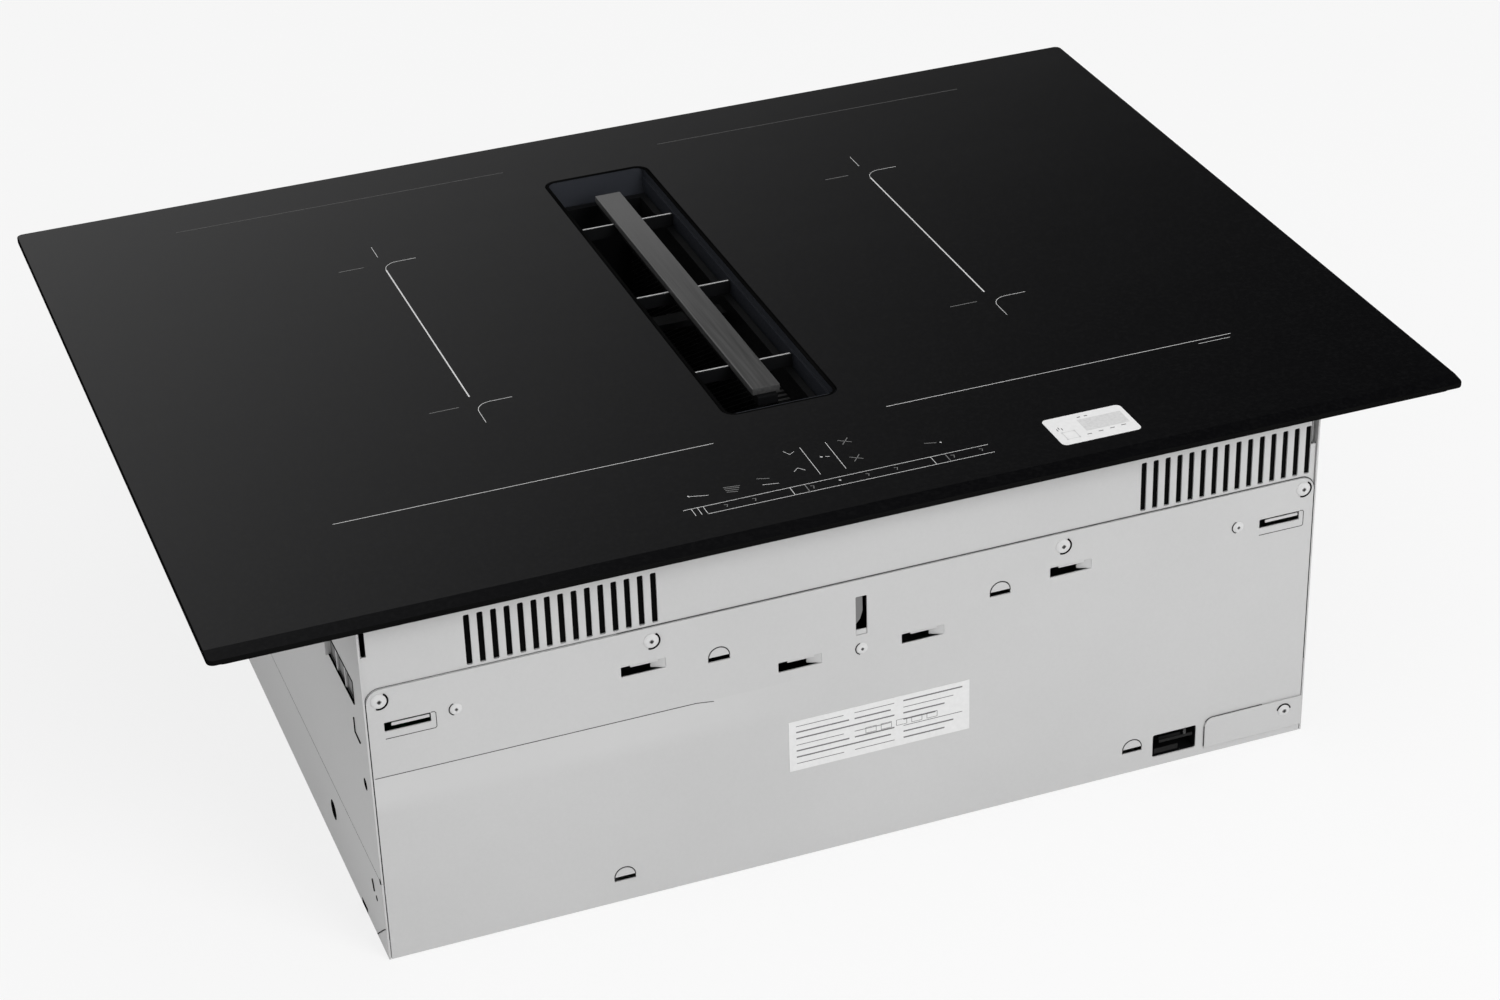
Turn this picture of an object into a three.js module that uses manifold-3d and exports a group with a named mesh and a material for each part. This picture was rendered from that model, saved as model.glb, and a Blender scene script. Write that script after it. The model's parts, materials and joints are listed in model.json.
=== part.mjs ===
// Downdraft induction cooktop: a black glass plate with an air slot, over a sheet steel body.
// Millimetres, +Z up, +X to the right of the cook, -Y towards the cook.
// The origin is on the surface that the body stands on, under the centre of the glass.
import * as THREE from "three";
import { mergeVertices } from "three/addons/utils/BufferGeometryUtils.js";
import Module from "manifold-3d";

// ---------- driving sizes, mm ----------
const clearance = 0.3; // gap that neighbouring pieces keep
const sheet = 1; // steel sheet of the body
const moulding = 2.5; // wall of the large plastic mouldings

const overallHeight = 223; // underside of the body to the top of the glass
const glassWidth = 710;
const glassDepth = 522;
const glassThickness = 4;
const glassCorner = 5;
const facetWidth = 14; // ground slope along the front edge of the glass
const facetDrop = 2;

const slotWidth = 68; // air slot through the glass
const slotFrontGap = 128; // front and rear edges of the glass to the slot
const slotBackGap = 64;
const slotCorner = 8;

const sealInset = 4.5; // soft tape that the glass lies on, inside its edge
const sealWidth = 10;
const sealThickness = 3;

const bodySideInset = 79; // edges of the glass to the body, which goes into a 560 x 490 cut-out
const bodyFrontInset = 18;
const trayHeight = 46.7; // upper tray, which holds the induction parts
const trayFlange = 12;
const trayApron = 10; // stretch of the tray's front and rear walls behind the lower panels
const notchWidth = 3.2; // corner relief at the top of the tray's front wall
const notchHeight = 27;

const ventWidth = 3.3; // cooling slots in the front wall of the tray
const ventCorner = 0.8;
const ventHeight = 30.5;
const ventPitch = 7.25;
const ventCount = 15;
const ventTouchGap = 69; // touch control to the middle of the left group of cooling slots
const ventRightInset = 57; // right side of the body to the middle of the right group

const panSide = 50; // side walls of the bottom pan
const panLip = 12; // front and rear lips of the bottom pan
const panelCorner = 6; // rounded upper corners of the front panel

const collarWall = 2; // air inlet moulding under the slot
const collarFlange = 8;
const collarFlangeThickness = 2;
const collarDrop = 0.5; // rim of the moulding below the top of the glass
const collarLedgeDrop = 5; // long side ledges below the top of the glass
const collarLedge = 1.3;
const collarSeatDrop = 17; // ledge that carries the filter basket
const collarEndSlope = 7.7; // run of the sloping end walls
const throatSideStep = 3.4; // collar's seat to the throat below it
const throatEndStep = 5;
const collarDepth = 57; // whole height of the moulding
const collarNeckDrop = 19; // where the moulding narrows, below the top of the glass

const basketPlay = 0.5; // running gap of the filter basket in the throat
const basketWall = 1.6;
const basketRim = 2.9;
const basketRimThickness = 3;
const basketFloorGap = 17.5; // floor of the air box to the foot of the basket
const troughHeight = 28; // closed lower part, which catches liquid
const basketLipWidth = 10;
const windowTopGap = 12.3; // openings in the long walls to the seat of the basket
const windowCount = 4;
const windowPost = 8;
const gripWidth = 12;
const gripThickness = 4;
const filterThickness = 8; // layered metal mesh panels

const barWidth = 16.6; // centre bar of the inlet grille
const barEndGap = 27; // ends of the slot to the bar
const barThickness = 4.5;
const barDrop = 2;
const keelWidth = 12; // stiffening rail below the bar
const keelHeight = 5.5;
const keelOverrun = 3;
const ribThickness = 1.6;
const ribEndGap = 37; // ends of the bar to the outer ribs
const ribDrop = 5;
const ribSideGap = 0.5;

const airBoxHalfWidth = 60; // collector round the filter basket
const airBoxFloor = 42;
const wingFront = 110; // intake over the fan, from the fan's axis forwards and backwards
const wingBack = 106;

const motorRadius = 46;
const motorHeight = 23;
const impellerMotorGap = 3.2;
const impellerLidGap = 5.5;
const impellerPlate = 2;
const impellerRingWidth = 13;
const bladeCount = 28;
const bladeThickness = 1.5;
const bladeSweep = 0.42; // turn of a blade from its inner to its outer end, radians
const hubRadius = 14;
const hubHeight = 14;
const shaftRadius = 4;
const shaftPlay = 0.3;
const fanOffset = 12; // the fan's axis in front of the middle of the slot

const scrollGap = 5; // impeller to the tongue of the scroll
const scrollGrowth = 18; // growth of the scroll's radius round the fan
const tongueAngle = 100; // degrees from +X
const scrollFloor = 18;
const ductHeight = 89; // flat duct that takes the air away
const ductWidth = 222;
const inletLap = 4; // the inlet is this much smaller in radius than the eye of the impeller
const postRadius = 8;

const containerRadius = 60; // overflow container under the collector
const containerWall = 2;
const containerFoot = 3; // height above the surface that the body stands on
const containerFlange = 6;
const containerFlangeThickness = 2;
const socketDepth = 5.7;
const socketWall = 4;
const ringWall = 5;
const ringHeight = 14;
const ringSkirt = 5.4;
const ringGrips = 12;
const ringGripRadius = 3;
const panHoleGap = 3;

const coilSlotGap = 12.6; // flange of the air inlet to the coils
const coilSideGap = 15.4; // side of the body to the coils
const coilCoolerGap = 8.7; // cooling fans to the front coils
const coilRearGap = 25; // rear of the body to the rear coils
const coilGap = 11; // front coil to rear coil
const coilHoleX = 32;
const coilHoleY = 22;
const coilThickness = 5;
const micaThickness = 0.6;
const carrierPlate = 2;
const ferriteHeight = 4;
const ferriteWidth = 14;
const ferriteCount = 8;
const sensorRadius = 7;
const supportThickness = 1.5;
const coilMargin = 1;

const boardThickness = 1.6;
const boardStandoff = 6;
const boardSideInset = 11; // power board inside the outline of the coils
const boardFrontInset = 11;
const boardBackInset = 6;
const boardGrid = 10; // raster that the components on the boards are laid out on
const deckGap = 3.5; // components on the power boards to the coil support
const standoffRadius = 3;
const sinkHalfWidth = 30;
const sinkEndInset = 57;
const sinkBase = 4;
const sinkFin = 1.5;
const sinkFins = 8;

const coolerSize = 76; // cooling fans in the tray
const coolerHeight = 28;
const coolerRim = 3; // frame round the bore, where it is thinnest
const coolerFrontGap = 3;
const coolerCupRadius = 12;
const coolerPin = 2.5;
const coolerStrut = 4;
const coolerStrutHeight = 3;
const coolerCupRise = 2;
const coolerBlades = 7;
const coolerTipGap = 1.5;
const coolerBladeChord = 14;
const coolerBladeThickness = 1.6;
const coolerBladePitch = 0.7; // radians

const touchWidth = 196;
const touchDepth = 42;
const touchFrontGap = 2;
const touchHolderHeight = 10;
const touchWall = 2;
const touchLeg = 8;
const touchKeys = 9;
const keyRadius = 4;

const windowInset = 83; // connection window, low on the front, from the body's right side
const windowZ = 13.8;
const windowWidth = 27.6;
const windowTall = 15.2;
const socketLength = 16;

const coverInset = 64; // small cover over the lower right corner of the front
const coverBottomZ = 4.8;
const coverTopZ = 24.6;
const coverCorner = 4;

const plateWidth = 107.5; // blank rating plate
const plateHeight = 32.5;
const plateX = 10;
const plateZ = 74.5;
const labelThickness = 0.2;
const labelWidth = 47.5; // blank information label on the glass
const labelDepth = 29.6;
const labelInset = 210; // right edge and front edge of the glass to the middle of the label
const labelFrontInset = 38.3;

const lanceWidth = 25; // pressed slots in the front panel
const lanceHeight = 6.2;
const outerLanceInset = 22.5;
const middleLanceX = 124.5;
const innerLanceX = 36;
const highLanceDrop = 24; // heights on the front panel, below the floor of the tray
const lowLanceDrop = 44.4;
const lugHighDrop = 31;
const centreSlotDrop = 35.5;
const lugRadius = 6; // half-round lugs pressed out of the front panel
const lugStep = 1.2;
const lugHighX = 82;
const lugLowLeftX = -141.3;
const lugWindowGap = 27;
const lugLowZ = 13.5;
const centreSlotWidth = 6.5;
const centreSlotHeight = 24.5;

const sideWindowInset = 20; // air opening near the front of each side, in three cells
const sideWindowDrop = 5; // underside of the tray to the top of the opening
const sideWindowLength = 51;
const sideWindowTall = 14;
const sideWindowBar = 2;
const sideHoleInset = 14;
const sideHoleZ = 106;
const sideHoleRadius = 3.6;
const wallHoleY = -136; // hole in each side wall of the pan
const wallHoleZ = 28;
const wallHoleRadius = 6.2;
const sideNotchY = -194; // notch in the lower edge of each side wall
const sideNotchWidth = 12;
const sideNotchTall = 4;

const terminalInset = 71; // mains terminals behind a cover in the rear panel
const terminalZ = 42;
const terminalWidth = 70;
const terminalTall = 46;
const terminalDepth = 34;
const terminalLap = 7;
const terminalWays = 5;
const terminalStep = 26; // height of the block
const terminalSlotRise = 10;
const terminalRib = 2; // between two ways
const terminalFoot = 10;
const grommetPitch = 65; // mains terminals to the cable inlet in the rear panel
const grommetRadius = 13;
const grommetGroove = 10;
const grommetBore = 6;
const grommetLength = 7;

const lowBoardShift = 4; // boards in the lower left of the body, off the middle of their room
const lowBoardFrontGap = 36.7;
const lowBoardGap = 20;
const netBoardWidth = 150; // mains filter board
const netBoardDepth = 190;
const driverBoardWidth = 110; // control board of the extractor fan
const driverBoardDepth = 80;

// ---------- heights and edges worked out from them ----------
const glassTop = overallHeight;
const glassUnder = glassTop - glassThickness;
const slotLength = glassDepth - slotFrontGap - slotBackGap;
const slotCentreY = (slotFrontGap - slotBackGap) / 2;
const halfWidth = glassWidth / 2 - bodySideInset;
const halfDepth = glassDepth / 2 - bodyFrontInset;
const trayTop = glassUnder - clearance;
const trayFloor = trayTop - trayHeight;
const trayInside = trayFloor + sheet;
const innerHalfWidth = halfWidth - sheet - clearance; // what stands inside the side panels
const innerHalfDepth = halfDepth - sheet - clearance;
const throatHalfWidth = slotWidth / 2 - clearance - collarWall - collarLedge - throatSideStep;
const throatHalfLength = slotLength / 2 - clearance - collarWall - collarEndSlope - throatEndStep;
const collarTop = glassTop - collarDrop;
const collarSeat = glassTop - collarSeatDrop;
const collarBottom = collarTop - collarDepth;
const basketSeat = collarSeat + clearance;
const rimTop = basketSeat + basketRimThickness;
const basketFoot = airBoxFloor + moulding + basketFloorGap;
const troughTop = basketFoot + troughHeight;
const windowHeight = basketSeat - troughTop - windowTopGap;
const airBoxTop = trayFloor - clearance;
const scrollInside = scrollFloor + moulding;
const lidUnder = scrollInside + ductHeight;
const lidTop = lidUnder + moulding;
const airBoxHalfLength = throatHalfLength + collarWall + clearance + moulding + 2;
const ringOuterRadius = containerRadius + containerFlange + ringWall;
const ringReach = ringOuterRadius + ringGripRadius / 2;
// The scroll fills the width from the collector and the screw ring to the right side panel.
const scrollLeft = Math.max(airBoxHalfWidth + clearance, ringReach + 1);
const tongueTurn = (180 - tongueAngle) / (360 - tongueAngle);
const scrollWidth = innerHalfWidth - scrollLeft - moulding;
const scrollStart = (scrollWidth - scrollGrowth * (1 + tongueTurn)) / 2;
const scrollEnd = scrollStart + scrollGrowth;
const fanX = innerHalfWidth - scrollEnd - moulding / 2;
const impellerRadius = scrollStart - scrollGap;
const impellerEye = impellerRadius - impellerRingWidth;
const inletRadius = impellerEye - inletLap;
const fanY = slotCentreY - fanOffset;
const ductX = innerHalfWidth - ductWidth / 2 - moulding;
const scrollMouthY = slotCentreY + airBoxHalfLength + 4 * clearance;
const motorBottom = scrollInside + clearance;
const motorTop = motorBottom + motorHeight;
const impellerBottom = motorTop + impellerMotorGap;
const impellerTop = lidUnder - impellerLidGap;
const terminalX = terminalInset - halfWidth;
const grommetX = terminalX + grommetPitch;
const grommetZ = panLip + grommetRadius + 2;
const ventLeftX = -touchWidth / 2 - ventTouchGap; // middle of each group of cooling slots
const ventRightX = halfWidth - ventRightInset;
const windowX = halfWidth - windowInset;
const coolerY = -innerHalfDepth + sheet + coolerFrontGap + coolerSize / 2;
const coolerBore = coolerSize / 2 - coolerRim;
const zoneFrontY = coolerY + coolerSize / 2 + coilCoolerGap;
const zoneBackY = halfDepth - coilRearGap;
const coilHalfY = (zoneBackY - zoneFrontY - coilGap) / 4;
const zoneInnerX = slotWidth / 2 + collarFlange + coilSlotGap;
const zoneOuterX = halfWidth - coilSideGap;
const coilHalfX = (zoneOuterX - zoneInnerX) / 2;
const coilX = (zoneOuterX + zoneInnerX) / 2; // middle of the left and right cooking zones

// ---------- materials ----------
const finish = (color, roughness, metalness) =>
  new THREE.MeshStandardMaterial({ color, roughness, metalness });
const blackGlass = finish(0x17181a, 0.12, 0);
const steel = finish(0xc3c3c1, 0.45, 0.8);
const blackPlastic = finish(0x101011, 0.5, 0);
const barMetal = finish(0x47474a, 0.45, 0.7);
const foam = finish(0x0c0c0c, 0.9, 0);
const greyPlastic = finish(0x8b8d8f, 0.55, 0);
const whitePlastic = finish(0xd9d8d2, 0.5, 0);
const meshMetal = finish(0xb5b7b9, 0.4, 0.9);
const aluminium = finish(0xc4c7ca, 0.35, 0.9);
const copper = finish(0xb4703c, 0.4, 0.9);
const ferriteBlack = finish(0x3a3b3d, 0.7, 0);
const mica = finish(0xb9a98c, 0.6, 0);
const boardGreen = finish(0x1f5a3a, 0.5, 0);
const paper = finish(0xe8e9e8, 0.6, 0);
const rubber = finish(0x161616, 0.8, 0);

// ---------- solids ----------
const wasm = await Module();
wasm.setup();

function toManifold(geometry) {
  const bare = geometry.index ? geometry.toNonIndexed() : geometry.clone();
  bare.deleteAttribute("normal");
  bare.deleteAttribute("uv");
  const merged = mergeVertices(bare, 1e-4);
  return new wasm.Manifold(
    new wasm.Mesh({
      numProp: 3,
      vertProperties: new Float32Array(merged.attributes.position.array),
      triVerts: new Uint32Array(merged.index.array),
    }),
  );
}

function toGeometry(manifold) {
  const mesh = manifold.getMesh();
  const geometry = new THREE.BufferGeometry();
  geometry.setAttribute("position", new THREE.BufferAttribute(mesh.vertProperties, 3));
  geometry.setIndex(new THREE.BufferAttribute(mesh.triVerts, 1));
  const flat = geometry.toNonIndexed();
  flat.computeVertexNormals();
  return flat;
}

// First geometry with the others joined to it, or cut from it.
function joined(first, ...others) {
  let result = toManifold(first);
  for (const other of others) result = result.add(toManifold(other));
  return toGeometry(result);
}

function cut(first, ...others) {
  let result = toManifold(first);
  for (const other of others) result = result.subtract(toManifold(other));
  return toGeometry(result);
}

// Box between two corners.
function box(x0, x1, y0, y1, z0, z1) {
  const geometry = new THREE.BoxGeometry(x1 - x0, y1 - y0, z1 - z0);
  return geometry.translate((x0 + x1) / 2, (y0 + y1) / 2, (z0 + z1) / 2);
}

// Upright cylinder round (x, y).
function rod(radius, x, y, z0, z1, sides = 32) {
  const geometry = new THREE.CylinderGeometry(radius, radius, z1 - z0, sides);
  return geometry.rotateX(Math.PI / 2).translate(x, y, (z0 + z1) / 2);
}

// Outline with its holes, extruded along +Z. The holes are cut one by one.
function prism(outline, depth, curveSegments) {
  const solid = (path, length) =>
    new THREE.ExtrudeGeometry(new THREE.Shape(path.getPoints(curveSegments)),
      { depth: length, bevelEnabled: false });
  const holes = outline.holes.map((hole) => solid(hole, depth + 2).translate(0, 0, -1));
  return cut(solid(outline, depth), ...holes);
}

// Outline extruded upwards from z0 to z1.
function slab(outline, z0, z1, curveSegments = 4) {
  return prism(outline, z1 - z0, curveSegments).translate(0, 0, z0);
}

// Outline drawn in x and z, extruded from y0 to y1.
function frontSlab(outline, y0, y1, curveSegments = 4) {
  return prism(outline, y1 - y0, curveSegments).rotateX(Math.PI / 2).translate(0, y1, 0);
}

// Outline drawn in y and z, extruded from x0 to x1.
const sideways = new THREE.Matrix4().makeBasis(
  new THREE.Vector3(0, 1, 0),
  new THREE.Vector3(0, 0, 1),
  new THREE.Vector3(1, 0, 0),
);
function sideSlab(outline, x0, x1, curveSegments = 4) {
  return prism(outline, x1 - x0, curveSegments).applyMatrix4(sideways).translate(x0, 0, 0);
}

// Rectangle with rounded corners, as a shape or as a hole.
function roundedRect(cx, cy, width, height, radius, Kind = THREE.Shape) {
  const outline = new Kind();
  const x = width / 2 - radius;
  const y = height / 2 - radius;
  outline.absarc(cx + x, cy + y, radius, 0, Math.PI / 2, false);
  outline.absarc(cx - x, cy + y, radius, Math.PI / 2, Math.PI, false);
  outline.absarc(cx - x, cy - y, radius, Math.PI, 1.5 * Math.PI, false);
  outline.absarc(cx + x, cy - y, radius, 1.5 * Math.PI, 2 * Math.PI, false);
  outline.closePath();
  return outline;
}

function rect(x0, x1, y0, y1, Kind = THREE.Shape) {
  const outline = new Kind();
  outline.moveTo(x0, y0);
  outline.lineTo(x1, y0);
  outline.lineTo(x1, y1);
  outline.lineTo(x0, y1);
  outline.closePath();
  return outline;
}

function ellipse(cx, cy, rx, ry, Kind = THREE.Shape) {
  const outline = new Kind();
  outline.absellipse(cx, cy, rx, ry, 0, 2 * Math.PI, false, 0);
  return outline;
}

// Four-sided funnel: half sizes (ax, ay) at z0 and (bx, by) at z1, round (0, cy).
function funnel(ax, ay, z0, bx, by, z1, cy) {
  const geometry = new THREE.BoxGeometry(2, 2, z1 - z0);
  const place = geometry.attributes.position;
  for (let i = 0; i < place.count; i++) {
    const upper = place.getZ(i) > 0;
    const sx = Math.sign(place.getX(i));
    const sy = Math.sign(place.getY(i));
    place.setXYZ(i, sx * (upper ? bx : ax), cy + sy * (upper ? by : ay), upper ? z1 : z0);
  }
  return geometry;
}

const part = new THREE.Group();

function add(name, geometry, material, group = part) {
  const mesh = new THREE.Mesh(geometry, material);
  mesh.name = name;
  group.add(mesh);
  return mesh;
}

// ---------- glass plate, its seal and its label ----------
function glassPanel() {
  const outline = roundedRect(0, 0, glassWidth, glassDepth, glassCorner);
  outline.holes.push(roundedRect(0, slotCentreY, slotWidth, slotLength, slotCorner, THREE.Path));
  const front = -glassDepth / 2;
  const facet = new THREE.Shape();
  facet.moveTo(front - 1, glassTop + 1);
  facet.lineTo(front - 1, glassTop - facetDrop * (1 + 1 / facetWidth));
  facet.lineTo(front + facetWidth, glassTop);
  facet.lineTo(front + facetWidth, glassTop + 1);
  facet.closePath();
  const ground = sideSlab(facet, -glassWidth / 2 - 1, glassWidth / 2 + 1);
  return cut(slab(outline, glassUnder, glassTop), ground);
}
add("glass_panel", glassPanel(), blackGlass);

function glassSeal() {
  const width = glassWidth - 2 * sealInset;
  const depth = glassDepth - 2 * sealInset;
  const inner = 2 * sealWidth;
  const outline = roundedRect(0, 0, width, depth, glassCorner);
  outline.holes.push(rect(-width / 2 + inner / 2, width / 2 - inner / 2,
    -depth / 2 + inner / 2, depth / 2 - inner / 2, THREE.Path));
  return slab(outline, glassUnder - sealThickness, glassUnder);
}
add("glass_seal", glassSeal(), foam);

const label = roundedRect(glassWidth / 2 - labelInset, labelFrontInset - glassDepth / 2,
  labelWidth, labelDepth, 3);
add("info_label", slab(label, glassTop, glassTop + labelThickness), paper);

// ---------- upper tray ----------
function upperTray() {
  const x = innerHalfWidth;
  const y = innerHalfDepth;
  const low = trayFloor - trayApron;
  const hollow = box(-x + sheet, x - sheet, -y + sheet, y - sheet, trayInside, trayTop - sheet);
  const mouth = box(-x + trayFlange, x - trayFlange, -y + trayFlange, y - trayFlange,
    trayTop - 2 * sheet, trayTop + 1);
  const below = box(-x - 1, x + 1, -y + sheet, y - sheet, low - 1, trayFloor);
  const openX = throatHalfWidth + collarWall + clearance;
  const openY = throatHalfLength + collarWall + clearance;
  const airway = box(-openX, openX, slotCentreY - openY, slotCentreY + openY, low, trayInside + 1);
  const corners = [-1, 1].flatMap((sx) => [-1, 1].map((sy) => {
    const cx = sx * x;
    const cy = sy * y;
    return box(cx - notchWidth, cx + notchWidth, cy - notchWidth, cy + notchWidth,
      trayTop - notchHeight, trayTop + 1);
  }));
  const intakes = [ventLeftX, ventRightX].map((groupX) =>
    rod(coolerBore - 2, groupX, coolerY, trayFloor - 1, trayInside + 1, 32));
  const vents = [];
  const middleZ = trayInside + clearance + ventHeight / 2;
  for (const groupX of [ventLeftX, ventRightX])
    for (let i = 0; i < ventCount; i++) {
      const ventX = groupX + (i - (ventCount - 1) / 2) * ventPitch;
      const slot = roundedRect(ventX, middleZ, ventWidth, ventHeight, ventCorner);
      vents.push(frontSlab(slot, -y - 1, -y + 2, 2));
    }
  return cut(box(-x, x, -y, y, low, trayTop),
    hollow, mouth, below, airway, ...corners, ...intakes, ...vents);
}
add("upper_tray", upperTray(), steel);

// ---------- lower body: front, sides, rear and bottom ----------
function lanceHole(x, z) {
  return rect(x - lanceWidth / 2, x + lanceWidth / 2,
    z - lanceHeight / 2, z + lanceHeight / 2, THREE.Path);
}

function halfDisc(x, z, radius, Kind = THREE.Shape) {
  const outline = new Kind();
  outline.moveTo(x - radius, z);
  outline.lineTo(x + radius, z);
  outline.absarc(x, z + radius * 0.45, radius, 0, Math.PI, false);
  outline.closePath();
  return outline;
}

function frontPanel() {
  const x = innerHalfWidth;
  const top = trayFloor - clearance;
  const outerLanceX = halfWidth - outerLanceInset;
  const centreSlotZ = trayFloor - centreSlotDrop;
  const outline = new THREE.Shape();
  outline.moveTo(-x, 0);
  outline.lineTo(x, 0);
  outline.absarc(x - panelCorner, top - panelCorner, panelCorner, 0, Math.PI / 2, false);
  outline.absarc(-x + panelCorner, top - panelCorner, panelCorner, Math.PI / 2, Math.PI, false);
  outline.closePath();
  for (const side of [-1, 1]) {
    outline.holes.push(lanceHole(side * outerLanceX, trayFloor - highLanceDrop));
    outline.holes.push(lanceHole(side * middleLanceX, trayFloor - highLanceDrop));
    outline.holes.push(lanceHole(side * innerLanceX, trayFloor - lowLanceDrop));
  }
  outline.holes.push(rect(-centreSlotWidth / 2, centreSlotWidth / 2,
    centreSlotZ, centreSlotZ + centreSlotHeight, THREE.Path));
  outline.holes.push(rect(windowX - windowWidth / 2, windowX + windowWidth / 2,
    windowZ - windowTall / 2, windowZ + windowTall / 2, THREE.Path));
  const plate = frontSlab(outline, -halfDepth, -halfDepth + sheet, 6);
  // Each lug is a half disc pressed inwards by a step, open along its straight lower edge.
  const lugs = [
    [-lugHighX, trayFloor - lugHighDrop],
    [lugHighX, trayFloor - lugHighDrop],
    [lugLowLeftX, lugLowZ],
    [windowX - lugWindowGap, lugLowZ],
  ];
  const recesses = lugs.map(([lx, lz]) =>
    frontSlab(halfDisc(lx, lz, lugRadius), -halfDepth - 1, -halfDepth + lugStep, 6));
  const backs = lugs.map(([lx, lz]) =>
    frontSlab(halfDisc(lx, lz + sheet, lugRadius + sheet),
      -halfDepth + sheet / 2, -halfDepth + lugStep + sheet, 6));
  return cut(joined(plate, ...backs), ...recesses);
}
add("front_panel", frontPanel(), steel);

// Cells of the air opening near the front of each side.
function sideWindowCells() {
  const cell = (sideWindowLength - 2 * sideWindowBar) / 3;
  const front = sideWindowInset - halfDepth;
  const top = trayFloor - sideWindowDrop;
  return [0, 1, 2].map((i) => {
    const y0 = front + i * (cell + sideWindowBar);
    return [y0, y0 + cell, top - sideWindowTall, top];
  });
}

// Side panel: it ends a joint's width above the side wall of the pan.
function sidePanel(side) {
  const outer = side * halfWidth;
  const x0 = side < 0 ? outer : outer - sheet;
  const outline = rect(-halfDepth, halfDepth, panSide + clearance, glassUnder - sealThickness);
  for (const cell of sideWindowCells()) outline.holes.push(rect(...cell, THREE.Path));
  outline.holes.push(ellipse(sideHoleInset - halfDepth, sideHoleZ, sideHoleRadius,
    sideHoleRadius, THREE.Path));
  return sideSlab(outline, x0, x0 + sheet, 6);
}
add("side_panel_left", sidePanel(-1), steel);
add("side_panel_right", sidePanel(1), steel);

function bottomPan() {
  const floor = rect(-halfWidth, halfWidth, -innerHalfDepth, innerHalfDepth);
  const hole = ringReach + panHoleGap;
  floor.holes.push(ellipse(0, slotCentreY, hole, hole, THREE.Path));
  const wall = rect(-halfDepth, halfDepth, 0, panSide);
  wall.holes.push(ellipse(wallHoleY, wallHoleZ, wallHoleRadius, wallHoleRadius, THREE.Path));
  const lipX = innerHalfWidth;
  const notches = [-1, 1].map((side) => box(side * halfWidth - 2 * sheet, side * halfWidth + 2 * sheet,
    sideNotchY - sideNotchWidth / 2, sideNotchY + sideNotchWidth / 2, -1, sideNotchTall));
  return cut(joined(
    slab(floor, 0, sheet, 10),
    sideSlab(wall, -halfWidth, -halfWidth + sheet, 5),
    sideSlab(wall, halfWidth - sheet, halfWidth, 5),
    box(-lipX, windowX - windowWidth / 2 - 4, -innerHalfDepth, -innerHalfDepth + sheet, 0, panLip),
    box(windowX + windowWidth / 2 + 4, lipX, -innerHalfDepth, -innerHalfDepth + sheet, 0, panLip),
    box(-lipX, ductX - ductWidth / 2 - 8, innerHalfDepth - sheet, innerHalfDepth, 0, panLip),
  ), ...notches);
}
add("bottom_pan", bottomPan(), steel);

function rearPanel() {
  const outline = rect(-innerHalfWidth, innerHalfWidth, 0, trayFloor - clearance);
  const ductHalf = ductWidth / 2;
  outline.holes.push(rect(ductX - ductHalf, ductX + ductHalf, scrollInside, lidUnder, THREE.Path));
  outline.holes.push(rect(terminalX - terminalWidth / 2, terminalX + terminalWidth / 2,
    terminalZ - terminalTall / 2, terminalZ + terminalTall / 2, THREE.Path));
  const groove = grommetGroove + clearance;
  outline.holes.push(ellipse(grommetX, grommetZ, groove, groove, THREE.Path));
  return frontSlab(outline, halfDepth - sheet, halfDepth, 8);
}
add("rear_panel", rearPanel(), steel);

function cornerCover() {
  const right = innerHalfWidth - clearance;
  const coverLeftX = halfWidth - coverInset;
  const outline = new THREE.Shape();
  outline.moveTo(coverLeftX, coverBottomZ);
  outline.lineTo(right, coverBottomZ);
  outline.lineTo(right, coverTopZ);
  outline.absarc(coverLeftX + coverCorner, coverTopZ - coverCorner, coverCorner,
    Math.PI / 2, Math.PI, false);
  outline.closePath();
  const front = -halfDepth - clearance;
  return frontSlab(outline, front - sheet, front, 6);
}
add("corner_cover", cornerCover(), steel);

const plate = rect(plateX - plateWidth / 2, plateX + plateWidth / 2,
  plateZ - plateHeight / 2, plateZ + plateHeight / 2);
add("rating_plate", frontSlab(plate, -halfDepth - labelThickness, -halfDepth), paper);

// Socket behind the connection window.
function auxSocket() {
  const reach = clearance;
  const x0 = windowX - windowWidth / 2 - moulding;
  const x1 = windowX + windowWidth / 2 + moulding;
  const z0 = windowZ - windowTall / 2 - moulding;
  const z1 = windowZ + windowTall / 2 + moulding;
  const y0 = -halfDepth + sheet + reach;
  const body = box(x0, x1, y0, y0 + socketLength, z0, z1);
  const hollow = box(x0 + moulding, x1 - moulding, y0 - 1, y0 + socketLength - moulding,
    z0 + moulding, z1 - moulding);
  const foot = box(x0, x1, y0 + 2, y0 + socketLength, sheet + clearance, z0 + 1);
  const tongue = box(windowX - 7, windowX + 7, y0 + 5, y0 + socketLength, windowZ - 1, windowZ + 1);
  return joined(cut(joined(body, foot), hollow), tongue);
}
add("aux_socket", auxSocket(), blackPlastic);

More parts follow.
